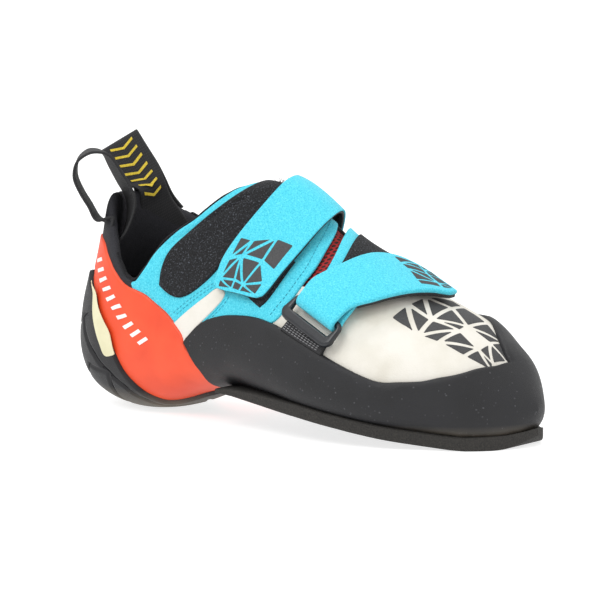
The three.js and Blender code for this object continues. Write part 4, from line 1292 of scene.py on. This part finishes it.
satin_plastic = grained(
    "satin_black_plastic", "ring_plastic", (0.03, 0.03, 0.035), (200, 1500), "Cloud",
    [(0.3, (0.006, 0.007, 0.009)), (0.7, (0.014, 0.016, 0.02))],
    roughness=0.33, bump=(0.1, 0.0003), bump_by="Cloud",
)


def ring_mesh():
    """Points and faces of the round cornered ring, with its near bar wider and flatter."""
    half_length = (RING_LENGTH - RING_WIRE) / 2
    half_reach = (RING_REACH - RING_WIRE) / 2
    path = []
    for a, b, start in ((1, 1, 0), (-1, 1, 90), (-1, -1, 180), (1, -1, 270)):
        for k in range(9):
            angle = math.radians(start + k * 90 / 8)
            path.append((a * (half_length - RING_CORNER) + RING_CORNER * math.cos(angle),
                         b * (half_reach - RING_CORNER) + RING_CORNER * math.sin(angle)))
    path = np.array(path)
    near = np.clip((RING_CORNER / 2 - half_reach - path[:, 1]) / RING_CORNER + 1, 0, 1)
    path[:, 1] -= near * (NEAR_BAR - RING_WIRE) / 2
    way = np.roll(path, -1, axis=0) - np.roll(path, 1, axis=0)
    way /= np.linalg.norm(way, axis=1, keepdims=True)
    points = []
    for (a, b), (wa, wb), share in zip(path, way, near):
        half_wide = (RING_WIRE + (NEAR_BAR - RING_WIRE) * share) / 2
        for j in range(16):
            angle = j / 16 * 2 * math.pi
            flat = 1 + 0.35 * share * abs(math.sin(2 * angle))
            out, up = half_wide * math.cos(angle) * flat, RING_WIRE / 2 * math.sin(angle) * flat
            points.append(by_ring(a + wb * out, b - wa * out, up))
    index = np.arange(len(path) * 16).reshape(len(path), 16)
    ahead, beside = np.roll(index, -1, axis=0), np.roll(index, -1, axis=1)
    both = np.roll(ahead, -1, axis=1)
    return points, np.stack([index, ahead, both, beside], -1).reshape(-1, 4)


ring_points, ring_faces = ring_mesh()
dress(new_piece("ring", ring_points, ring_faces, smooth=60), satin_plastic, "buckle_ring")

webbing, shader, add, links = material("black_webbing", "black_webbing", (0.03, 0.03, 0.032))
coordinates = add("ShaderNodeUVMap", uv_map="cut")
cut_uv = coordinates.outputs["UV"]
ribs = add("ShaderNodeTexWave", {"Vector": cut_uv, "Scale": 24, "Distortion": 0.6}, bands_direction="X")
picks = add("ShaderNodeTexWave", {"Vector": cut_uv, "Scale": 34, "Distortion": 0.4}, bands_direction="Y")
woven = add("ShaderNodeMath", {0: ribs.outputs["Fac"], 1: picks.outputs["Fac"]}, operation="MULTIPLY")
woven_colour = ramp(add, woven.outputs[0], [(0.1, (0.008, 0.008, 0.009)), (0.8, (0.02, 0.02, 0.022))])
links.new(woven_colour, shader.inputs["Base Color"])
shader.inputs["Roughness"].default_value = 0.75
bumped(add, links, shader, woven.outputs[0], 0.22, 0.0003)


def turn_round(bar, width, radius, way, drop=0):
    """Rows across webbing that turns back round a line at a bar, dropped by millimetres."""
    lines = []
    for angle in np.radians(np.linspace(0, 180, 9)):
        lines.append([by_ring(a, bar + way * radius * math.sin(angle), -radius * math.cos(angle) - drop)
                      for a in np.linspace(-width / 2, width / 2, 7)])
    return np.array(lines)


TAB_END = [11.0, 0.2885, 12.36, 0.2715]
tab_inner = lines_over([[*TAB_END, 0.1]], WEBBING)
tab_outer = lines_over([[*TAB_END, 1.5]], WEBBING)
bar_place = (RING_REACH - RING_WIRE) / 2
tab_turn = turn_round(-bar_place + 0.9, TAB_WIDTH, WEBBING / 2 + 0.03, 1, RING_WIRE / 2 + WEBBING + 0.1)
tab_lines = np.concatenate([tab_inner, tab_turn, tab_outer])
dress(ribbon("ring_tab", tab_lines, WEBBING, 40, 30), webbing, "buckle_tab")
grey_thread = grained(
    "grey_thread", "black_webbing", (0.2, 0.2, 0.21), (300, 2500), "Pebble",
    [(0.3, (0.09, 0.09, 0.095)), (0.7, (0.3, 0.3, 0.31))],
    roughness=0.7, bump=(0.3, 0.0002),
)
tab_seams = [[(11.06, 0.2925 + k * 0.0037), (12.3, 0.277 + k * 0.0037)] for k in range(4)]
thread("tab_stitches", tab_seams, 2.95, grey_thread, pitch=1.9, stitch=1.4, thick=0.55)


# The lower strap: cyan suede over the vamp, round the ring's upper bar and back over itself.
# Its base carries pile, its folded end carries hook tape underneath.

STRAP_BASE = [
    [9, 0.7, 10.8, 0.695, 0.3],
    [9.05, 0.65, 10.9, 0.65, 0.5],
    [9.15, 0.6, 11.1, 0.6, 1.0],
    [9.4, 0.545, 11.4, 0.55, 1.4],
    [10, 0.48, 11.85, 0.49, 1.4],
    [10.6, 0.43, 12.2, 0.435, 1.2],
    [10.95, 0.385, 12.42, 0.38, 0.9],
    [10.98, 0.355, 12.45, 0.345, 0.8],
]
STRAP_RETURN = [
    [10.98, 0.372, 12.5, 0.352, 6],
    [11.06, 0.39, 12.62, 0.368, 6],
    [11.2, 0.417, 12.85, 0.387, 5.8],
    [11.3, 0.45, 13.1, 0.414, 5.6],
    [11.42, 0.48, 13.35, 0.446, 5.2],
    [11.7, 0.512, 13.6, 0.478, 4.8],
    [12.1, 0.535, 13.85, 0.505, 4.4],
    [12.6, 0.548, 13.8, 0.528, 4.2],
]
lower_lines = np.concatenate([
    lines_over(STRAP_BASE, LOWER_THICK),
    turn_round(bar_place, 25, RING_WIRE / 2 + GAP + LOWER_THICK / 2, -1),
    lines_over(STRAP_RETURN, LOWER_THICK),
])
dress(ribbon("lower_strap_suede", lower_lines, LOWER_THICK, 150, 26), cyan_suede, "lower_strap")


def part_of(rows, first, last, from_share, to_share, raise_by):
    """Rows of a narrower and shorter strip of a strap, raised or lowered by millimetres."""
    cut = []
    for u1, v1, u2, v2, height in rows[first:last]:
        ends = []
        for t in (from_share, to_share):
            ends += [u1 * (1 - t) + u2 * t, v1 * (1 - t) + v2 * t]
        cut.append([*ends, height + raise_by])
    return cut


HOOK_THICK = 1.7
pile_lines = lines_over(part_of(STRAP_BASE, 1, 7, 0.24, 0.97, LOWER_THICK - 0.05), 1.1)
dress(ribbon("lower_strap_pile", pile_lines, 1.1, 70, 24, edge=0.5), black_pile)
hook_lines = lines_over(part_of(STRAP_RETURN, 1, 8, 0.03, 0.99, -1.6), HOOK_THICK)
dress(ribbon("lower_strap_hook", hook_lines, HOOK_THICK, 90, 24, edge=0.4), black_hook)
end_print = over_strap(STRAP_RETURN, 4.6, 6.8, 0.1, 0.9, 16, 30)
dress(facets("lower_strap_facets", end_print, 16, 30, 8.5, 1.4, 3, skip=0.1), printed_grey)


# The pull loops: black woven webbing sewn to the wall of the collar, the outer one standing
# open and the other pressed flat.

LOOP_WIDTH = 20
LOOP_GAP = 0.9
LOOP_TURN = math.radians(38)
loop_across = np.array([math.cos(LOOP_TURN), math.sin(LOOP_TURN), 0])
loop_away = np.array([-math.sin(LOOP_TURN), math.cos(LOOP_TURN), 0])
loop_up = np.array([0, 0, 1])


def leg(rows, height):
    """Lines across a loop's sewn end, at a height over the last."""
    return lines_over([[*row, height] for row in rows], WEBBING, 5)


def across_line(middle, side):
    """Six points across the webbing about its middle."""
    return [(middle + side * (k / 5 - 0.5) * LOOP_WIDTH - FLOOR_MIDDLE) * MM for k in range(6)]


OUTER_OPEN = [
    [-4.8, 5.5, 0], [-8.6, 12, 0], [-12.5, 18.5, 0], [-15.2, 25.4, 0], [-14.2, 32.3, -2],
    [-9.8, 36.4, -6], [-5.2, 37.2, -10], [-0.6, 35.5, -14], [3.3, 29, -18], [7.2, 22.2, -20],
    [10.4, 15.2, -16], [10.4, 8, -10], [8, 0, -4],
]
start = surface(1.7, 0.1) - outward(1.7, 0.1) * WALL / 2
open_lines = []
for across, up, turn in OUTER_OPEN:
    side = loop_away * math.cos(math.radians(turn)) + loop_across * math.sin(math.radians(turn))
    open_lines.append(across_line(start + loop_across * across + loop_up * up, side))
inside_height = -WALL - LOOP_GAP - WEBBING
outer_loop = np.concatenate([
    leg([[1.95, 0.157, 1.85, 0.043], [1.5, 0.157, 1.5, 0.043]], -0.6),
    np.array(open_lines),
    leg([[2.4, 0.157, 2.4, 0.043], [3, 0.157, 3, 0.043]], inside_height),
])
dress(ribbon("pull_loop_outer_webbing", outer_loop, WEBBING, 140, 22), webbing, "pull_loop_outer")

INNER_FLAT = [[-3.8, 7, 1, 1.8, 29], [-8.6, 14.6, 2.4, 1.1, 31], [-13, 21.6, 4, 1, 31]]
start = surface(0.57, 0.914) - outward(0.57, 0.914) * WALL / 2


def flat_line(across, up, away, apart, lean, side):
    """A line across one of the two layers of the flat loop, which stand apart from its middle."""
    width = loop_across * math.cos(math.radians(lean)) + loop_up * math.sin(math.radians(lean))
    return across_line(start + loop_across * across + loop_up * up + loop_away * (away + side * apart), width)


across, up, away, apart, lean = INNER_FLAT[-1]
crease_lines = []
for angle in np.radians([45, 90, 135]):
    out = apart * math.sin(angle)
    crease_lines.append(flat_line(
        across - out * math.sin(math.radians(lean)), up + out * math.cos(math.radians(lean)), away,
        apart * math.cos(angle), lean, 1,
    ))
INNER_LEG = [[1.72, 0.915, 1.55, 0.82], [1.2, 0.935, 1, 0.845], [0.5, 0.955, 0.35, 0.865]]
inner_loop = np.concatenate([
    leg(INNER_LEG, LOOP_GAP),
    np.array([flat_line(*row, 1) for row in INNER_FLAT]),
    np.array(crease_lines),
    np.array([flat_line(*row, -1) for row in reversed(INNER_FLAT)]),
    leg([*reversed(INNER_LEG), [2.4, 0.88, 2.3, 0.79]], inside_height),
])
dress(ribbon("pull_loop_inner_webbing", inner_loop, WEBBING, 120, 22), webbing, "pull_loop_inner")
yellow_yarn = grained(
    "yellow_yarn", "black_webbing", (0.8, 0.6, 0.05), (300, 2500), "Pebble",
    [(0.25, (0.3, 0.2, 0.01)), (0.6, (0.8, 0.6, 0.05))],
    roughness=0.8, bump=(0.4, 0.0003),
)


def chevrons(name, lines, first, count, apart, out_height, made):
    """Arrow shapes woven into a webbing: thin closed tiles on rows of points across it."""
    lines = np.asarray(lines)
    places = np.arange(len(lines))

    def at(a, b):
        row = np.array([[np.interp(a, places, lines[:, j, k]) for k in range(3)] for j in (0, -1)])
        return row[0] * (1 - b) + row[1] * b

    vertices, faces = [], []
    for n in range(count):
        middle = first + n * apart
        for low, high in ((0.2, 0.5), (0.8, 0.5)):
            start = len(vertices)
            for share in (0, 0.5, 1):
                b = low + (high - low) * share
                for side in (-1, 1):
                    a = middle + (share - 0.5) * apart * 0.5 + side * apart * 0.14
                    spot = at(a, b)
                    out = np.cross(at(a + 0.05, b) - spot, at(a, b + 0.05) - spot)
                    out /= np.linalg.norm(out)
                    vertices += [spot + out * out_height * MM, spot + out * (out_height + 0.3) * MM]
            faces += tile_faces(start)
    return dress(new_piece(name, vertices, faces, smooth=25), made)


chevrons("loop_chevrons", inner_loop[9:14], 0.25, 7, 0.52, WEBBING / 2 - 0.12, yellow_yarn)


# A pale table top, soft light from above and the left, and the photographer's long lens.

bpy.ops.mesh.primitive_plane_add(size=24, location=(0, 0, 0))
table = bpy.context.object
table.name = "table_top"
table_white, shader, add, links = material("table_white", None, (0.9, 0.9, 0.9))
shader.inputs["Base Color"].default_value = (0.42, 0.42, 0.42, 1)
shader.inputs["Roughness"].default_value = 0.6
shader.inputs["Emission Color"].default_value = (1, 1, 1, 1)
shader.inputs["Emission Strength"].default_value = 0.74
table.data.materials.append(table_white)

world = bpy.data.worlds.new("studio")
bpy.context.scene.world = world
world.use_nodes = True
world.node_tree.nodes["Background"].inputs["Color"].default_value = (1, 1, 1, 1)
world.node_tree.nodes["Background"].inputs["Strength"].default_value = 1.0

VIEW_TURN = math.radians(38)
VIEW_RISE = math.radians(7.3)
VIEW_DISTANCE = 1.4
LENS = 185.55
target = (np.array([120.595, 0, 55.688]) - FLOOR_MIDDLE) * MM
level = math.cos(VIEW_RISE)
back = np.array([math.sin(VIEW_TURN) * level, -math.cos(VIEW_TURN) * level, math.sin(VIEW_RISE)])
right = np.array([math.cos(VIEW_TURN), math.sin(VIEW_TURN), 0])


def lamp(name, place_at, size, power):
    """A round soft light that looks at the shoe."""
    light = bpy.data.lights.new(name, "AREA")
    light.shape = "DISK"
    light.size = size
    light.energy = power
    holder = bpy.data.objects.new(name, light)
    bpy.context.scene.collection.objects.link(holder)
    holder.location = Vector(place_at)
    holder.rotation_euler = (Vector(target) - Vector(place_at)).to_track_quat("-Z", "Y").to_euler()


lamp("key_softbox", target + back * 0.9 - right * 0.8 + np.array([0, 0, 1.3]), 1.0, 14)
lamp("fill_softbox", target + back * 0.8 + right * 1.2 + np.array([0, 0, 0.8]), 1.2, 3)
lamp("top_softbox", target - back * 0.4 + np.array([0, 0, 1.5]), 1.2, 6)

camera_data = bpy.data.cameras.new("camera")
camera_data.sensor_width = 36
camera_data.lens = LENS
camera_data.clip_end = 100
camera = bpy.data.objects.new("camera", camera_data)
bpy.context.scene.collection.objects.link(camera)
camera.location = Vector(target + back * VIEW_DISTANCE)
camera.rotation_euler = Vector(-back).to_track_quat("-Z", "Y").to_euler()
bpy.context.scene.camera = camera
bpy.context.scene.view_settings.view_transform = "Standard"
